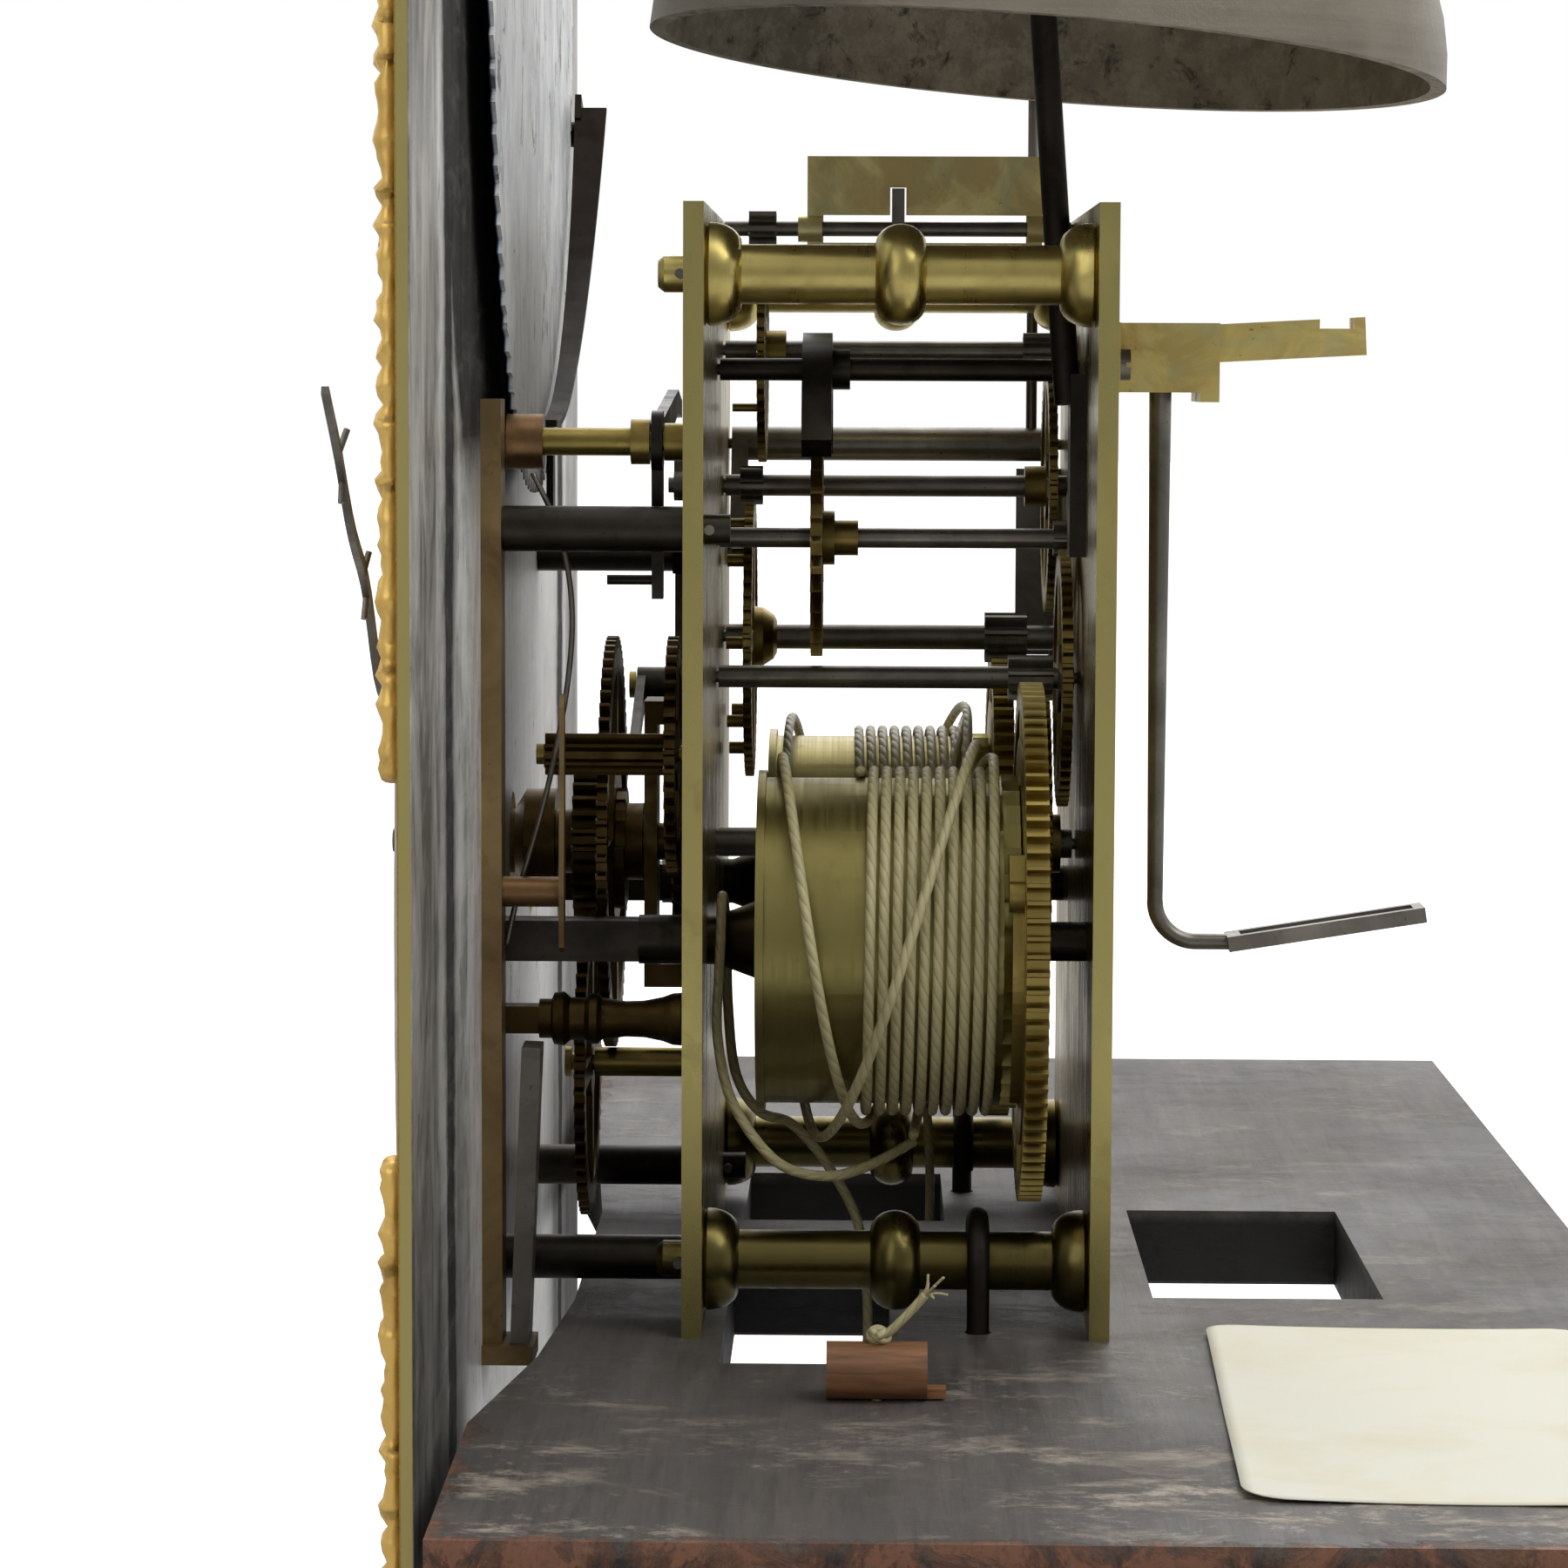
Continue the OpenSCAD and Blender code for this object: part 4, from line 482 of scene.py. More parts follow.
def bell_finish():
    """Turned outside with fine rings, and a rough cast inside."""
    s = Shade("bell_metal")
    f = finishes()
    low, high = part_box("bell")
    mid = [(a + b) / 2 for a, b in zip(low, high)]
    here = s.coords()
    rings = s.noise(s.coords(scale=(6, 6, 700)), 1.0, 4.0, 0.6)
    cast = s.noise(here, 210, 9.0, 0.78)
    pits = s.span(s.noise(s.coords(move=(4, 4, 1)), 150, 8.0, 0.76, 0.5), 0.55, 0.64)
    blotch = s.span(s.noise(here, 30, 7.0, 0.65, 0.6), 0.38, 0.7)
    side = s.add("ShaderNodeVectorMath", operation="DOT_PRODUCT")
    s.link(s.coords(move=(-mid[0], -mid[1], -low[2])), side.inputs[0])
    s.link(s.add("ShaderNodeTexCoord").outputs["Normal"], side.inputs[1])
    outside = s.span(side.outputs["Value"], 0.004, 0.012)
    outer = s.mix(blotch, tuple(f.bell), scaled(f.bell, 0.7))
    outer = s.mix(s.span(rings, 0.4, 0.65, 0.0, 0.3), outer, scaled(f.bell, 1.3))
    inner = s.mix(blotch, hexed("938A78"), hexed("6E6657"))
    inner = s.mix(s.span(cast, 0.46, 0.6, 0.0, 0.7), inner, hexed("A89F8D"))
    inner = s.mix(s.sum("MULTIPLY", pits, 0.8), inner, hexed("332D24"))
    base = s.mix(outside, inner, outer)
    rough = s.span(outside, 0.0, 1.0, 0.75, 0.42)
    normal = s.bump(cast, 0.6, 0.0004)
    mat = s.finish(base, rough, normal)
    s.link(s.span(outside, 0.0, 1.0, 0.1, 0.8), s.bsdf.inputs["Metallic"])
    return mat


def dial_finish():
    """Matted front, filed edge, and a scraped back with marks and dull margins, with painted shade in a dark
    band, round the moon disc and low down.
    """
    s = Shade("dial_plate")
    f = finishes()
    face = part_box("chapter_ring")[1][1]
    moon_low, moon_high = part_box("moon_disc")
    here = s.coords()
    x, y, z = s.split(here)
    back = s.span(y, face + 0.0017, face + 0.0019)
    edge = s.sum("SUBTRACT", s.span(y, face + 0.0001, face + 0.0003), back)
    streak = s.noise(s.coords(scale=(90, 40, 34)), 1.0, 9.0, 0.7, 0.6)
    scrape = s.noise(s.coords(scale=(60, 40, 230), turn=(0, 0.6, 0)), 1.0, 8.0, 0.7, 0.3)
    wide = s.span(s.noise(here, 14, 7.0, 0.65, 0.9), 0.4, 0.64)
    mark = s.span(s.noise(s.coords(scale=(120, 40, 70), move=(3, 0, 1)), 1.0, 9.0, 0.74, 0.8), 0.6, 0.66)
    matt = s.noise(here, 1600, 4.0, 0.7)
    wander = s.sum("MULTIPLY", s.noise(here, 22, 8.0, 0.7, 0.5), 0.02)
    off = s.sum("ADD", s.sum("ABSOLUTE", x, 0.0), wander)
    # Painted shade: a dark band down the back of the plate, where a shadow gap falls.
    shadow_band = s.sum("MULTIPLY", s.span(off, 0.117, 0.126), s.span(off, 0.145, 0.136))
    margin = s.span(off, 0.142, 0.152)
    reach = s.add("ShaderNodeVectorMath", operation="LENGTH")
    s.link(s.coords(scale=(1, 0, 1), move=(0, 0, -(moon_low[2] + moon_high[2]) / 2)), reach.inputs[0])
    # Painted shade round and under the moon disc, reaching a little beyond its rim.
    grime_and_shade = s.span(s.sum("ADD", reach.outputs["Value"], wander), 0.149, 0.139)
    grime_and_shade = s.sum("MULTIPLY", grime_and_shade, s.span(z, 0.138, 0.156))
    # Painted shade: darker towards the bottom, just inside the band.
    lower_shade = s.sum("MULTIPLY", s.span(z, 0.13, 0.02, 0.0, 0.8), s.span(off, 0.085, 0.115))
    rear = s.mix(s.span(streak, 0.4, 0.6), hexed("B4B2AD"), tuple(f.dial_back))
    rear = s.mix(s.span(scrape, 0.45, 0.62, 0.0, 0.5), rear, hexed("F8F7F5"))
    rear = s.mix(s.sum("MULTIPLY", wide, 0.3), rear, hexed("9A9791"))
    rear = s.mix(s.span(x, 0.03, -0.03, 0.0, 0.5), rear, hexed("F4F3F0"))
    rear = s.mix(s.sum("MULTIPLY", mark, 0.7), rear, hexed("35302B"))
    dull = s.mix(s.span(streak, 0.4, 0.62), hexed("4A453F"), hexed("ABA79F"))
    rear = s.mix(s.sum("MULTIPLY", margin, 0.8), rear, dull)
    # Near-black painted shade colour for the band, the area round the moon disc and the lower part.
    shade_colour = s.mix(s.span(scrape, 0.5, 0.66), hexed("0E0C0A"), hexed("3C3833"))
    shade_mask = s.sum("MULTIPLY", s.sum("MAXIMUM", s.sum("MAXIMUM", shadow_band, grime_and_shade), lower_shade), back)
    rear = s.mix(s.sum("MULTIPLY", shade_mask, 0.94), rear, shade_colour)
    front = s.mix(s.span(matt, 0.35, 0.7), scaled(f.dial, 0.55), tuple(f.dial))
    base = s.mix(back, front, rear)
    base = s.mix(edge, base, hexed("A89C63"))
    rough = s.sum("MAXIMUM", s.span(streak, 0.3, 0.7, 0.34, 0.5), s.span(shade_mask, 0.0, 1.0, 0.0, 0.8))
    normal = s.bump(s.sum("MULTIPLY", matt, s.span(back, 0.0, 1.0, 1.0, 0.0)), 0.25, 0.00008)
    mat = s.finish(base, rough, normal)
    bare = s.sum("MULTIPLY", back, s.span(shade_mask, 0.0, 1.0, 0.3, 0.0))
    s.link(s.sum("ADD", s.span(back, 0.0, 1.0, 0.9, 0.0), bare), s.bsdf.inputs["Metallic"])
    s.link(s.span(shade_mask, 0.0, 1.0, 0.5, 0.05), s.bsdf.inputs["Specular IOR Level"])
    return mat


def moon_finish():
    """Painted sky in front with two plain moons, bare stained metal behind."""
    s = Shade("moon_disc")
    f = finishes()
    low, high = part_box("moon_disc")
    mid_z = (low[2] + high[2]) / 2
    here = s.coords()
    y = s.split(here)[1]
    front = s.span(y, low[1] + 0.0001, low[1] + 0.0003, 1.0, 0.0)
    streak = s.noise(s.coords(scale=(80, 30, 40)), 1.0, 9.0, 0.72, 0.5)
    mark = s.span(s.noise(s.coords(scale=(110, 40, 60), move=(6, 0, 2)), 1.0, 9.0, 0.75, 0.9), 0.57, 0.62)
    stain = s.span(s.noise(here, 26, 7.0, 0.65, 0.7), 0.4, 0.66)
    rear = s.mix(s.span(streak, 0.36, 0.56), hexed("A3A6A8"), hexed("EDEDEB"))
    rear = s.mix(s.sum("MULTIPLY", stain, 0.5), rear, hexed("98A0A5"))
    rear = s.mix(s.sum("MULTIPLY", mark, 0.8), rear, hexed("2D2B2A"))
    sky = s.mix(s.span(s.noise(here, 40, 5.0), 0.4, 0.7), tuple(f.sky), scaled(f.sky, 1.5))
    dots = s.add("ShaderNodeTexVoronoi", feature="F1")
    s.link(s.coords(scale=(62, 0, 62)), dots.inputs["Vector"])
    dots.inputs["Scale"].default_value = 1.0
    sky = s.mix(s.span(dots.outputs["Distance"], 0.09, 0.07), sky, hexed("E3C368"))
    for side in (-1, 1):
        place = s.coords(scale=(1, 0, 1), move=(-side * 0.045, 0, -mid_z))
        reach = s.add("ShaderNodeVectorMath", operation="LENGTH")
        s.link(place, reach.inputs[0])
        sky = s.mix(s.span(reach.outputs["Value"], 0.0312, 0.0308), sky, hexed("E9DFB8"))
    base = s.mix(front, rear, sky)
    return s.finish(base, s.span(streak, 0.3, 0.7, 0.38, 0.6), s.bump(streak, 0.3, 0.0001), 0.4)


def paper_finish():
    s = Shade("bare_paper")
    f = finishes()
    here = s.coords()
    fibre = s.noise(here, 1400, 5.0, 0.6)
    stain = s.span(s.noise(here, 45, 6.0, 0.6, 0.5), 0.48, 0.72)
    base = s.mix(s.sum("MULTIPLY", stain, 0.45), tuple(f.paper), hexed("CFC6A2"))
    return s.finish(base, 0.85, s.bump(fibre, 0.2, 0.00005))


# Gut line on the barrels and below the board

DRUM_R = 26.4
DRUM_BACK = {1: 16.8, -1: 14.2}
TURNS = {1: 10, -1: 9}
PITCH, RINGS, SLACK = 2.15, 24, 2.5
BARREL_X, BARREL_Z, SEAT_T = 43.2, 60.2, 13.5
TURN_STEPS, FALL_STEPS = 72, 14


def ease(t, a, b):
    u = max(0.0, min(1.0, (t - a) / (b - a)))
    return u * u * (3 - 2 * u)


def lay_radius():
    """Middle of the line on the drum, and the step out to the next layer."""
    line = sizes().line_d / MM
    return (DRUM_R + line / 2 + 0.05) / math.cos(math.pi / RINGS), line + 0.5


def winding_path(side):
    """Neat turns up to the back of the drum, then slack strands crossing over them."""
    turns = TURNS[side]
    near, lay = lay_radius()
    last = DRUM_BACK[side] - sizes().line_d / MM / 2 - 0.4
    stops = [last + 0.5, last, -4.5, -18.5, -13, 12.6, 3, 3]
    path = []
    for i in range(int((turns + SLACK) * TURN_STEPS) + 1):
        t = i / TURN_STEPS
        if t <= turns:
            y = last - (turns - t) * PITCH
        else:
            v = 2 * (t - turns)
            k = min(4, int(v))
            y = blend_four(*stops[k:k + 4], v - k)
        radius = near + lay * (ease(t, turns - 0.35, turns - 0.02) + ease(t, turns + 1, turns + 1.5))
        a = math.radians(90 + side * 360 * t)
        x, z = radius * math.cos(a), radius * math.sin(a)
        path.append(Vector((side * BARREL_X + x, y, BARREL_Z + SEAT_T + z)) * MM)
    return path


def fall_start(side):
    """Where the line leaves the drum, seen from the board's top."""
    near, lay = lay_radius()
    reach = near + 2 * lay + sizes().line_d / MM + 0.02
    tilt = math.radians(5)
    return (side * (BARREL_X - reach * math.sin(tilt)), 3, BARREL_Z - reach * math.cos(tilt))


GOING_ROUTE = [
    (50, -4, 24.5), (58, -11, 24), (62, -19, 27), (60, -26, 36), (56, -28.6, 46), (51, -28.6, 55),
    (49.5, -28.4, 60), (46, -28.3, 66.5), (40, -28.2, 66.5), (36.6, -27.8, 60), (33, -27.6, 48),
    (28.5, -26.4, 36), (27.5, -22.5, 29.5), (28.5, -17, 27.5), (31, -11, 21), (34.5, -6, 12),
    (37, -4.4, 0), (39.5, -4.6, -14), (44, -6, -32), (54, -9, -56), (74, -11, -73), (96, -8, -68),
    (110, -4, -44), (112, -3, -26), (112, -3, 9.6),
]
STRIKE_ROUTE = [
    (-46, 4.6, 24), (-48.5, 6.4, 17), (-49, 7, 7), (-49, 7, -8), (-49, 6.6, -30), (-50, 6, -46),
    (-53, 5, -62),
]


def knot_path(at, size, tail):
    """Overhand knot round a point, with its tail led away."""
    path = []
    for i in range(49):
        a = 2 * math.pi * i / 48 * 0.94
        r = size * (1 + 0.42 * math.cos(3 * a / 2))
        rise = 0.55 * size * math.sin(3 * a)
        path.append(Vector(at) + Vector((r * math.cos(a * 2), r * math.sin(a * 2), rise)))
    start = path[-1]
    return path + smooth_path([start] + [start + Vector(t) for t in tail], 8)[1:]


class CLOCK_OT_gut_lines(bpy.types.Operator):
    """Winds the gut line on both barrels and lays its falls"""
    bl_idname = "clock.gut_lines"
    bl_label = "Gut lines"

    def execute(self, context):
        gut = line_finish()
        radius = sizes().line_d / 2
        sides = sizes().line_sides
        for side, train in ((1, "going"), (-1, "strike")):
            mesh = tube_mesh(f"{train}_turns", winding_path(side), radius, sides)[0]
            turns = new_object(f"{train}_turns", mesh, gut, f"{train}_drum")
            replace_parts(turns, f"{train}_winding")
        tails = {"going": [(0.0006, 0.0022, 0.0012), (0.0010, 0.0050, 0.0040), (0.0014, 0.0076, 0.0070)],
                 "strike": [(0.0004, 0.0010, -0.0022), (0.0002, 0.0016, -0.0055), (-0.0006, 0.0012, -0.0090)]}
        for side, train, route in ((1, "going", GOING_ROUTE), (-1, "strike", STRIKE_ROUTE)):
            stops = [fall_start(side)] + route
            path = smooth_path([Vector((x, y, z + SEAT_T)) * MM for x, y, z in stops], FALL_STEPS)
            mesh, run = tube_mesh(f"{train}_line", path, radius, sides)
            line = new_object(f"{train}_line", mesh, gut, "frame")
            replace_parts(line, f"{train}_fall")
            knot = self.knot(train, path[-1], tails[train], gut)
        return {"FINISHED"}

    def knot(self, train, at, tail, gut):
        """Knot at the free end of a line, its tail frayed into strands."""
        radius = sizes().line_d / 2
        path = knot_path(at, 1.3 * radius, tail)
        meshes = [tube_mesh("knot", path, 0.8 * radius, 8)[0]]
        end, way = path[-1], (path[-1] - path[-4]).normalized()
        for k in range(6):
            off = Vector((math.cos(k * 1.05), math.sin(k * 1.9), math.sin(k * 1.05)))
            strand = smooth_path([end - way * 0.0016, end + way * 0.0008 + off * 0.0005,
                                  end + way * 0.0022 + off * (0.0012 + 0.0002 * k)], 5)
            meshes.append(tube_mesh("strand", strand, 0.26 * radius, 5)[0])
        bm = bmesh.new()
        for mesh in meshes:
            bm.from_mesh(mesh)
        mesh = bpy.data.meshes.new(f"{train}_knot")
        bm.to_mesh(mesh)
        bm.free()
        mesh.shade_smooth()
        return new_object(f"{train}_knot", mesh, gut, "frame")


class CLOCK_OT_brasswork(bpy.types.Operator):
    """Finishes the plates, pillars, wheels and barrels"""
    bl_idname = "clock.brasswork"
    bl_label = "Brasswork"

    def execute(self, context):
        f = finishes()
        plate = worked_metal("plate_brass", f.plate, tinted(f.plate, hexed("6E5A33"), 0.6), 0.24,
                             brush=(500, 60, 26), edge=f.edge)
        # The pillars get painted shade low down.
        pillar = worked_metal("pillar_brass", f.pillar, tinted(f.pillar, hexed("6B5A2B"), 0.45), 0.26,
                              brush=(20, 320, 20), spots=0.0, grime_and_shade=0.3, relief=0.0, streak=0.05,
                              painted_low_shade=(0.04, 0.1, 0.86))
        wheel = worked_metal("wheel_brass", f.wheel, tinted(f.wheel, hexed("4A3718"), 0.5), 0.33,
                             brush=(300, 300, 300), spots=0.6)
        # Brown tarnished brass, darkened further as painted shade, for the motion work and date post.
        motion_shaded = worked_metal("motion_brass_shaded", f.motion_shaded, tinted(f.motion_shaded, hexed("2C2212"), 0.6), 0.36,
                              brush=(300, 300, 300), spots=0.6)
        drum = worked_metal("drum_brass", f.drum, tinted(f.drum, hexed("7A6D3E"), 0.6), 0.32,
                            brush=(8, 2200, 8), spots=0.2, grime_and_shade=0.25, relief=0.000002, streak=0.12)
        copper = worked_metal("copper_collars", f.copper, hexed("6E4C36"), 0.35,
                              brush=(60, 1600, 60), spots=0.3)
        great = worked_metal("great_wheel_brass", f.great, tinted(f.great, hexed("6A5426"), 0.6), 0.3,
                             brush=(300, 60, 300), spots=0.5)
        dress(plate, "front_plate", "back_plate")
        dress(stained_brass("fly_brass", f.fly, 0.35), "fly_vane")
        dress(stained_brass("cock_brass", f.cock, 0.5), "back_cock")
        dress(pillar, "pillars")
        dress(drum, "going_barrel", "strike_barrel")
        dress(great, "going_great_wheel", "strike_great_wheel", "going_click", "strike_click", "front_studs")
        dress(wheel, "centre_wheel", "third_wheel", "escape_wheel", "pin_wheel", "gathering_wheel",
              "warning_wheel")
        dress(motion_shaded, "cannon_wheel", "minute_wheel", "hour_wheel", "date_wheel", "date_post", "hour_bridge")
        studs = NODES["front_studs"].data
        studs.materials.append(copper)
        collar_x, collar_y = 0.046, -0.053
        for face in studs.polygons:
            if face.center.x > collar_x and face.center.y < collar_y:
                face.material_index = 1
        soften(0.00025, "front_plate", "back_plate", "back_cock")
        turn_smooth(CRISP_ANGLE, "pillars", "front_studs", "date_post", "going_barrel", "strike_barrel")
        return {"FINISHED"}


class CLOCK_OT_steelwork(bpy.types.Operator):
    """Finishes the arbors, levers, hammer, hooks and strap"""
    bl_idname = "clock.steelwork"
    bl_label = "Steelwork"

    def execute(self, context):
        f = finishes()
        steel = worked_metal("worn_steel", f.steel, hexed("514B43"), 0.3, brush=(300, 40, 300), spots=0.7,
                             metallic=0.75)
        iron = worked_metal("forged_iron", f.iron, hexed("2A221D"), 0.5, brush=(120, 120, 120), spots=0.6,
                            relief=0.0001)
        strap = worked_metal("strap_brass", f.strap, hexed("5C4630"), 0.42, brush=(400, 60, 30), spots=0.4)
        dark = worked_metal("dark_steel", f.dark_steel, hexed("1E1A16"), 0.36,
                            brush=(300, 40, 300), spots=0.5)
        dress(dark, "dial_feet", "going_arbor", "strike_arbor", "pallets", "rack", "lifting_piece")
        dress(steel, "taper_pins", "cock_screws", "blade_springs", *ARBORS, "crutch", "hammer",
              "minute_hand", "hour_hand", "seconds_hand")
        dress(iron, "seat_hooks", "bell_stand", "moon_guard")
        dress(strap, "dial_strap")
        turn_smooth(CRISP_ANGLE, "dial_feet", "going_arbor", "strike_arbor", *ARBORS, "crutch", "hammer",
                    "bell_stand", "seat_hooks", "pallets")
        self.wires(steel, strap)
        return {"FINISHED"}

    def wires(self, steel, strap):
        """Thin spring wire behind the dial, and the lever on the strap's stud."""
        bend = [(59.4, -57.9, 149.7), (59.4, -53.6, 140), (59.4, -51.7, 128.3), (59.4, -52.6, 115),
                (59.4, -56, 98), (59.4, -60, 84), (59.4, -62.2, 74.5)]
        mesh = tube_mesh("spring_wire", smooth_path([Vector(p) * MM for p in bend], 8), 0.00045, 8)[0]
        new_object("spring_wire", mesh, steel, "frame")
        bm = bmesh.new()
        outline = [(61.6, 75), (63.6, 74), (65.6, 75), (66.2, 84), (65, 97), (64.4, 113), (63, 115),
                   (61.9, 113), (61.4, 97)]
        prism(bm, [(x * MM, z * MM) for x, z in outline], -0.0534, -0.0526)
        new_object("moon_lever", mesh_of("moon_lever", bm), strap, "frame")


class CLOCK_OT_seatboard(bpy.types.Operator):
    """Finishes the board and its peg, and lays the bare label on it"""
    bl_idname = "clock.seatboard"
    bl_label = "Seatboard"

    def execute(self, context):
        dress(board_finish(), "seatboard")
        dress(peg_finish(), "line_peg")
        soften(0.0012, "seatboard")
        self.label()
        return {"FINISHED"}

    def label(self):
        """Paper with rounded corners, slightly cockled, lying on the board."""
        w, d = sizes().label_w, sizes().label_d
        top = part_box("seatboard")[1][2]
        across, along = 60, 32
        corner = 0.006
        at, tilt = (0.1175, 0.0775, top + 0.0002), math.radians(-1.5)
        verts, faces, keep = [], [], {}
        for i in range(across + 1):
            for j in range(along + 1):
                x, y = w * i / across - w / 2, d * j / along - d / 2
                over = Vector((max(0, abs(x) - w / 2 + corner), max(0, abs(y) - d / 2 + corner)))
                if over.length > corner:
                    pull = over.normalized() * (over.length - corner)
                    x -= math.copysign(pull.x, x)
                    y -= math.copysign(pull.y, y)
                cockle = 0.00025 * (1 + math.sin(70 * x + 1.3) * math.cos(95 * y))
                lift = cockle + 0.0004 * (2 * abs(y) / d) ** 6
                keep[i, j] = len(verts)
                verts.append(Vector((x, y, lift)))
        for i in range(across):
            for j in range(along):
                faces.append((keep[i, j], keep[i + 1, j], keep[i + 1, j + 1], keep[i, j + 1]))
        turn = Matrix.Translation(at) @ Matrix.Rotation(tilt, 4, "Z")
        mesh = mesh_from("bare_label", [turn @ v for v in verts], faces, smooth=True)
        label = new_object("bare_label", mesh, paper_finish(), "frame")
        thick = label.modifiers.new("paper", "SOLIDIFY")
        thick.thickness = 0.00015


class CLOCK_OT_dial(bpy.types.Operator):
    """Finishes the dial and moon disc, and makes the corner castings, numerals and tracks"""
    bl_idname = "clock.dial"
    bl_label = "Dial"

    def execute(self, context):
        f = finishes()
        dress(dial_finish(), "dial_plate")
        dress(moon_finish(), "moon_disc")
        silver = worked_metal("silvered_ring", f.silver, tinted(f.silver, hexed("9C988B"), 0.6), 0.4,
                              brush=(160, 40, 160), spots=0.3, grime_and_shade=0.2)
        gilt = worked_metal("gilt_castings", f.gilt, tinted(f.gilt, hexed("8A5F1E"), 0.5), 0.3,
                            brush=(90, 90, 90), spots=0.2, grime_and_shade=0.6, metallic=0.85)
        dress(silver, "chapter_ring")
        dress(gilt, "spandrels")
        self.castings(gilt)
        self.ring_marks()
        return {"FINISHED"}

    def castings(self, gilt):
        """Scrolled corner castings: stems, curls, leaves, a fan in each corner and a lumpy border."""
        low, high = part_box("spandrels")
        mid = ((low[0] + high[0]) / 2, (low[2] + high[2]) / 2)
        face, e = high[1], (high[0] - low[0]) / 2 / MM
        strokes = []

        def stroke(points, wide, narrow, steps=6):
            path = smooth_path([Vector((x, 0, z)) for x, z in points], steps)
            last = len(path) - 1
            strokes.append((path, [wide + (narrow - wide) * i / last for i in range(last + 1)]))

        def curl(x, z, start, turns, r0, r1, wide, narrow):
            count = int(abs(turns) * 14)
            points = []
            for i in range(count + 1):
                u = i / count
                a = math.radians(start + 360 * turns * u)
                r = r0 + (r1 - r0) * u
                points.append((x + r * math.cos(a), z + r * math.sin(a)))
            stroke(points, wide, narrow, 2)

        stroke([(e - 46, e - 46), (e - 30, e - 50), (e - 14, e - 66), (e - 9, e - 86), (e - 16, e - 104),
                (e - 11, e - 124), (e - 7, e - 142)], 2.7, 1.5)
        curl(e - 25, e - 71, 60, 1.6, 14, 3, 2.4, 1.3)
        curl(e - 13, e - 108, 80, -1.5, 7, 2, 2, 1.1)
        curl(e - 8, e - 134, 90, 1.4, 3.6, 1.2, 1.7, 1)
        for x, z, dx, dz in ((10, 60, 7, 13), (7, 78, 5, 12), (13, 96, 9, -11), (9, 116, 6, 11),
                             (20, 86, -5, -9), (30, 58, -9, -10), (38, 62, -4, -12), (24, 50, 13, 7)):
            bow = (e - x + 0.5 * dx - 0.15 * dz, e - z + 0.5 * dz + 0.15 * dx)
            stroke([(e - x, e - z), bow, (e - x + dx, e - z + dz)], 2.6, 0.9)
        for k in range(4):
            a = math.radians(45 - k * 17)
            tip = 36 - 2.4 * k
            rib = [(e - 40 + r * math.cos(a), e - 40 + r * math.sin(a)) for r in (5, 0.6 * tip, tip)]
            stroke(rib, 1.5, 3.2)
        path, widths = [], []
        border_from, border_step, border_count = e - 149, 1.25, 118
        for i in range(border_count):
            z = border_from + border_step * i
            lump = 0.5 + 0.5 * math.sin(1.15 * z + 1.6 * math.sin(0.31 * z))
            size = 1.4 + 1.1 * lump + random.uniform(-0.45, 0.45)
            path.append(Vector((e + 0.2 - size + random.uniform(-0.15, 0.15), 0, z)))
            widths.append(size)
        strokes.append((path, widths))
        bm = bmesh.new()
        for path, widths in strokes:
            for swap in (False, True):
                flip = [Vector((p.z, 0, p.x)) if swap else p for p in path]
                mesh = tube_mesh("stroke", flip, widths, 10)[0]
                for v in mesh.vertices:
                    v.co.y *= 0.85
                bm.from_mesh(mesh)
        corner = bpy.data.meshes.new("corner")
        bm.to_mesh(corner)
        bm.free()
        whole = bmesh.new()
        place = Matrix.Translation((mid[0], face - 0.0011, mid[1]))
        for k in range(4):
            turned = corner.copy()
            turned.transform(place @ Matrix.Rotation(k * math.pi / 2, 4, "Y") @ Matrix.Scale(MM, 4))
            whole.from_mesh(turned)
        bmesh.ops.recalc_face_normals(whole, faces=whole.faces)
        mesh = bpy.data.meshes.new("corner_castings")
        whole.to_mesh(mesh)
        whole.free()
        mesh.shade_smooth()
        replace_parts(new_object("corner_castings", mesh, gilt, "frame"), "spandrels")

    def ring_marks(self):
        """Numerals and minute track of the ring, and the seconds track on the plate, in black wax."""
        low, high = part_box("chapter_ring")
        mid = Vector(((low[0] + high[0]) / 2, 0, (low[2] + high[2]) / 2))
        outer = (high[0] - low[0]) / 2
        proud, sunk = 0.00015, 0.0002
        bm = bmesh.new()

        def stroke(angle, u0, v0, u1, v1, width, mid=mid, depth=(low[1] - proud, low[1] + sunk)):
            """Bar between two points given across and outwards from a centre, turned by an angle."""
            a, b = Vector((u0, v0)), Vector((u1, v1))
            n = (b - a).normalized()
            side = Vector((-n.y, n.x)) * width / 2
            corners = [a - side, b - side, b + side, a + side]
            c, s = math.cos(angle), math.sin(angle)
            prism(bm, [(mid.x + p.x * c + p.y * s, mid.z - p.x * s + p.y * c) for p in corners], *depth)

        def circle(radius, width, **place):
            for i in range(120):
                a = 2 * math.pi * i / 120
                half = radius * math.tan(math.pi / 120)
                stroke(a, -half, radius, half, radius, width, **place)

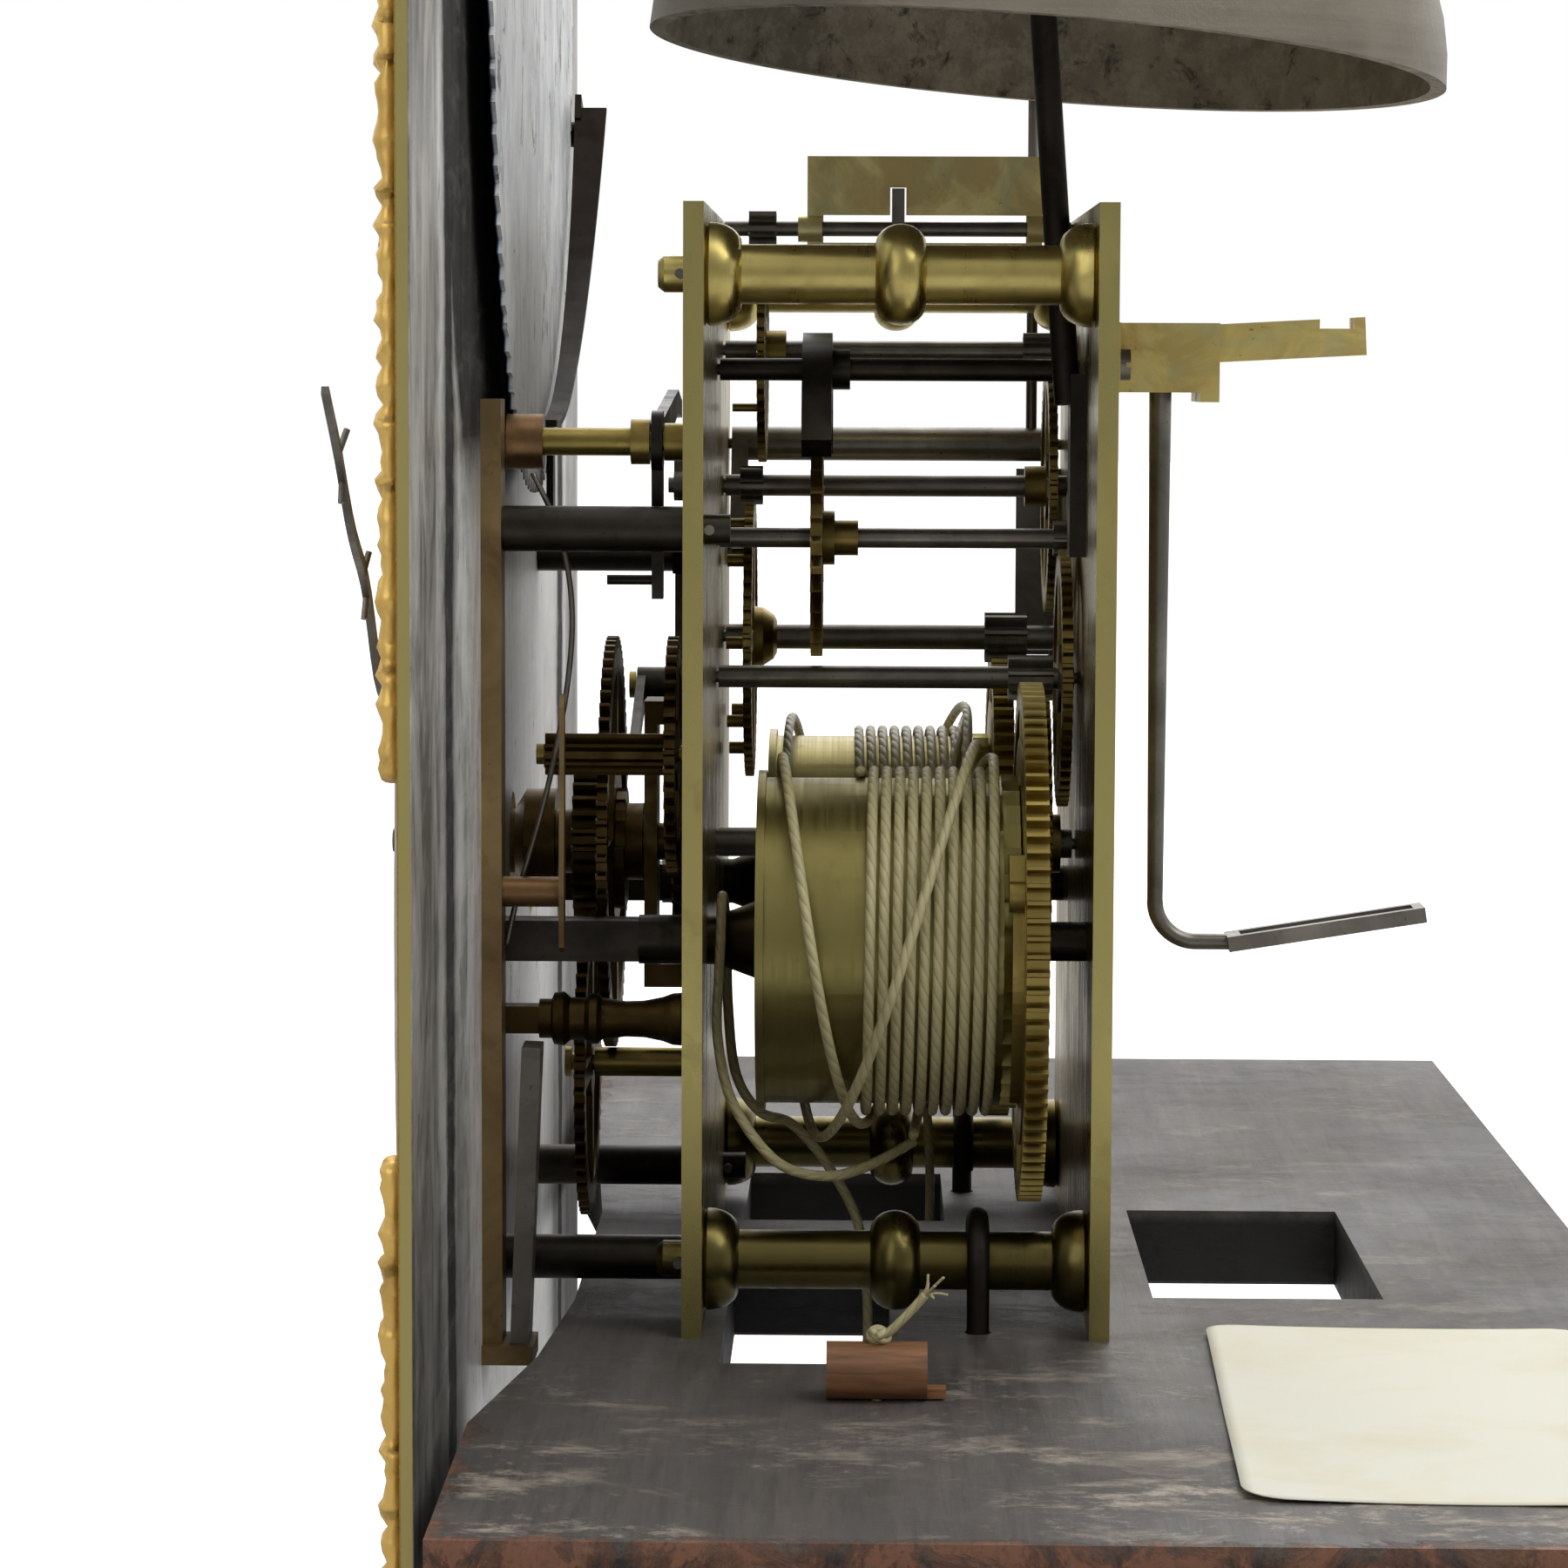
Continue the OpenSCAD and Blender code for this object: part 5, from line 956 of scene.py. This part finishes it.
        base, tall, thick, thin, gap = outer - 0.036, 0.021, 0.0022, 0.0008, 0.0008
        wide = {"I": 0.0042, "V": 0.0105, "X": 0.0105}
        for hour, word in enumerate("XII I II III IIII V VI VII VIII IX X XI".split()):
            angle = 2 * math.pi * hour / 12
            at = -sum(wide[c] for c in word) / 2
            for c in word:
                l, r = at + gap, at + wide[c] - gap
                m = (l + r) / 2
                if c == "I":
                    stroke(angle, m, base, m, base + tall, thick)
                elif c == "V":
                    stroke(angle, l + 0.001, base + tall, m, base, thick)
                    stroke(angle, r - 0.0004, base + tall, m, base, thin)
                else:
                    stroke(angle, l + 0.001, base + tall, r - 0.001, base, thick)
                    stroke(angle, r - 0.001, base + tall, l + 0.001, base, thin)
                at += wide[c]
        for minute in range(60):
            angle = 2 * math.pi * minute / 60
            stroke(angle, 0, outer - 0.0102, 0, outer - 0.0062, 0.0014 if minute % 5 == 0 else 0.0006)
        for radius, width in ((outer - 0.0102, 0.0005), (outer - 0.0062, 0.0005), (outer - 0.0406, 0.0005),
                              (outer - 0.0014, 0.0004)):
            circle(radius, width)
        low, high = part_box("escape_arbor")
        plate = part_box("dial_plate")[0][1]
        place = {"mid": (Vector(low) + Vector(high)) / 2, "depth": (plate - proud, plate + sunk)}
        track = 0.026
        for second in range(60):
            deep, width = (0.0045, 0.0007) if second % 5 == 0 else (0.003, 0.0004)
            stroke(2 * math.pi * second / 60, 0, track - deep, 0, track, width, **place)
        circle(track, 0.0005, **place)
        circle(track - 0.003, 0.0004, **place)
        s = Shade("black_wax")
        worn = s.span(s.noise(s.coords(), 500, 5.0), 0.45, 0.7)
        wax = s.finish(s.mix(worn, hexed("14120F"), hexed("2C2925")), 0.5)
        new_object("ring_marks", mesh_of("ring_marks", bm), wax, "frame")


class CLOCK_OT_bell(bpy.types.Operator):
    """Finishes the bell"""
    bl_idname = "clock.bell"
    bl_label = "Bell"

    def execute(self, context):
        dress(bell_finish(), "bell")
        turn_smooth(CRISP_ANGLE, "bell")
        return {"FINISHED"}


CAMERA_AT = (0.79444, -0.00511, 0.16672)
CAMERA_RIGHT = (-0.01793, 0.99983, 0.00368)
CAMERA_UP = (-0.0895, -0.00527, 0.99597)
CAMERA_BACK = (0.99583, 0.01753, 0.08958)


class CLOCK_OT_studio(bpy.types.Operator):
    """Sets the camera, pale floor, soft lamps and white surroundings"""
    bl_idname = "clock.studio"
    bl_label = "Studio"

    def execute(self, context):
        scene = context.scene
        scene.view_settings.view_transform = "Standard"
        self.camera(scene)
        self.floor(scene)
        self.lamps(scene)
        self.surroundings(scene)
        return {"FINISHED"}

    def camera(self, scene):
        data = bpy.data.cameras.new("camera")
        data.lens = sizes().focal_mm
        data.sensor_width = 36
        data.clip_end = 100
        camera = bpy.data.objects.new("camera", data)
        turn = Matrix((CAMERA_RIGHT, CAMERA_UP, CAMERA_BACK)).transposed().to_4x4()
        camera.matrix_world = Matrix.Translation(CAMERA_AT) @ turn
        scene.collection.objects.link(camera)
        scene.camera = camera

    def floor(self, scene):
        half = sizes().floor_size / 2
        z = CAD_BOX[0][2] - 0.001
        corners = [(-half, -half, z), (half, -half, z), (half, half, z), (-half, half, z)]
        mesh = mesh_from("floor", corners, [(0, 1, 2, 3)])
        s = Shade("pale_floor")
        path = s.add("ShaderNodeLightPath")
        s.finish((0.55, 0.55, 0.55), 0.9)
        s.bsdf.inputs["Emission Color"].default_value = (1, 1, 1, 1)
        s.link(path.outputs["Is Camera Ray"], s.bsdf.inputs["Emission Strength"])
        floor = bpy.data.objects.new("floor", mesh)
        mesh.materials.append(s.mat)
        scene.collection.objects.link(floor)

    def lamps(self, scene):
        for name, at, size, power in (
            ("key_lamp", (0.5, 0.9, 1.5), 1.2, 13),
            ("fill_lamp", (1.3, -0.9, 0.9), 1.4, 7),
            ("back_lamp", (-1.3, 0.2, 1.2), 1.6, 14),
        ):
            data = bpy.data.lights.new(name, "AREA")
            data.size = size
            data.energy = power
            lamp = bpy.data.objects.new(name, data)
            lamp.location = at
            lamp.rotation_euler = (Vector((0, 0, 0.12)) - Vector(at)).to_track_quat("-Z", "Y").to_euler()
            scene.collection.objects.link(lamp)

    def surroundings(self, scene):
        world = bpy.data.worlds.new("studio")
        world.use_nodes = True
        tree = world.node_tree
        tree.nodes.clear()
        out = tree.nodes.new("ShaderNodeOutputWorld")
        back = tree.nodes.new("ShaderNodeBackground")
        path = tree.nodes.new("ShaderNodeLightPath")
        place = tree.nodes.new("ShaderNodeTexCoord")
        parts = tree.nodes.new("ShaderNodeSeparateXYZ")
        tree.links.new(place.outputs["Generated"], parts.inputs[0])
        shade = tree.nodes.new("ShaderNodeMapRange")
        for key, number in (("From Min", -0.2), ("From Max", 0.75), ("To Min", 0.95), ("To Max", 0.3)):
            shade.inputs[key].default_value = number
        tree.links.new(parts.outputs["X"], shade.inputs["Value"])
        share = tree.nodes.new("ShaderNodeMix")
        tree.links.new(path.outputs["Is Camera Ray"], share.inputs["Factor"])
        tree.links.new(shade.outputs["Result"], share.inputs["A"])
        share.inputs["B"].default_value = 1.0
        tree.links.new(share.outputs["Result"], back.inputs["Strength"])
        back.inputs["Color"].default_value = (1, 1, 1, 1)
        tree.links.new(back.outputs[0], out.inputs[0])
        scene.world = world


class CLOCK_PT_panel(bpy.types.Panel):
    """Lists the steps and the sizes and colours"""
    bl_idname = "CLOCK_PT_panel"
    bl_label = "Clock movement"
    bl_space_type = "VIEW_3D"
    bl_region_type = "UI"
    bl_category = "Clock"

    def draw(self, context):
        for step in STEPS:
            self.layout.operator(step.bl_idname)
        for group in (context.scene.clock_sizes, context.scene.clock_finishes):
            for key in group.__annotations__:
                self.layout.prop(group, key)


STEPS = (CLOCK_OT_studio, CLOCK_OT_gut_lines, CLOCK_OT_brasswork, CLOCK_OT_steelwork,
         CLOCK_OT_seatboard, CLOCK_OT_dial, CLOCK_OT_bell)
CLASSES = (ClockFinishes, ClockSizes, *STEPS, CLOCK_PT_panel)


def register():
    for cls in CLASSES:
        bpy.utils.register_class(cls)
    bpy.types.Scene.clock_finishes = PointerProperty(type=ClockFinishes)
    bpy.types.Scene.clock_sizes = PointerProperty(type=ClockSizes)


def unregister():
    del bpy.types.Scene.clock_sizes
    del bpy.types.Scene.clock_finishes
    for cls in reversed(CLASSES):
        bpy.utils.unregister_class(cls)


def main():
    register()
    random.seed(4)
    bpy.ops.clock.studio()
    bpy.ops.clock.gut_lines()
    bpy.ops.clock.brasswork()
    bpy.ops.clock.steelwork()
    bpy.ops.clock.seatboard()
    bpy.ops.clock.dial()
    bpy.ops.clock.bell()


if __name__ == "__main__":
    main()
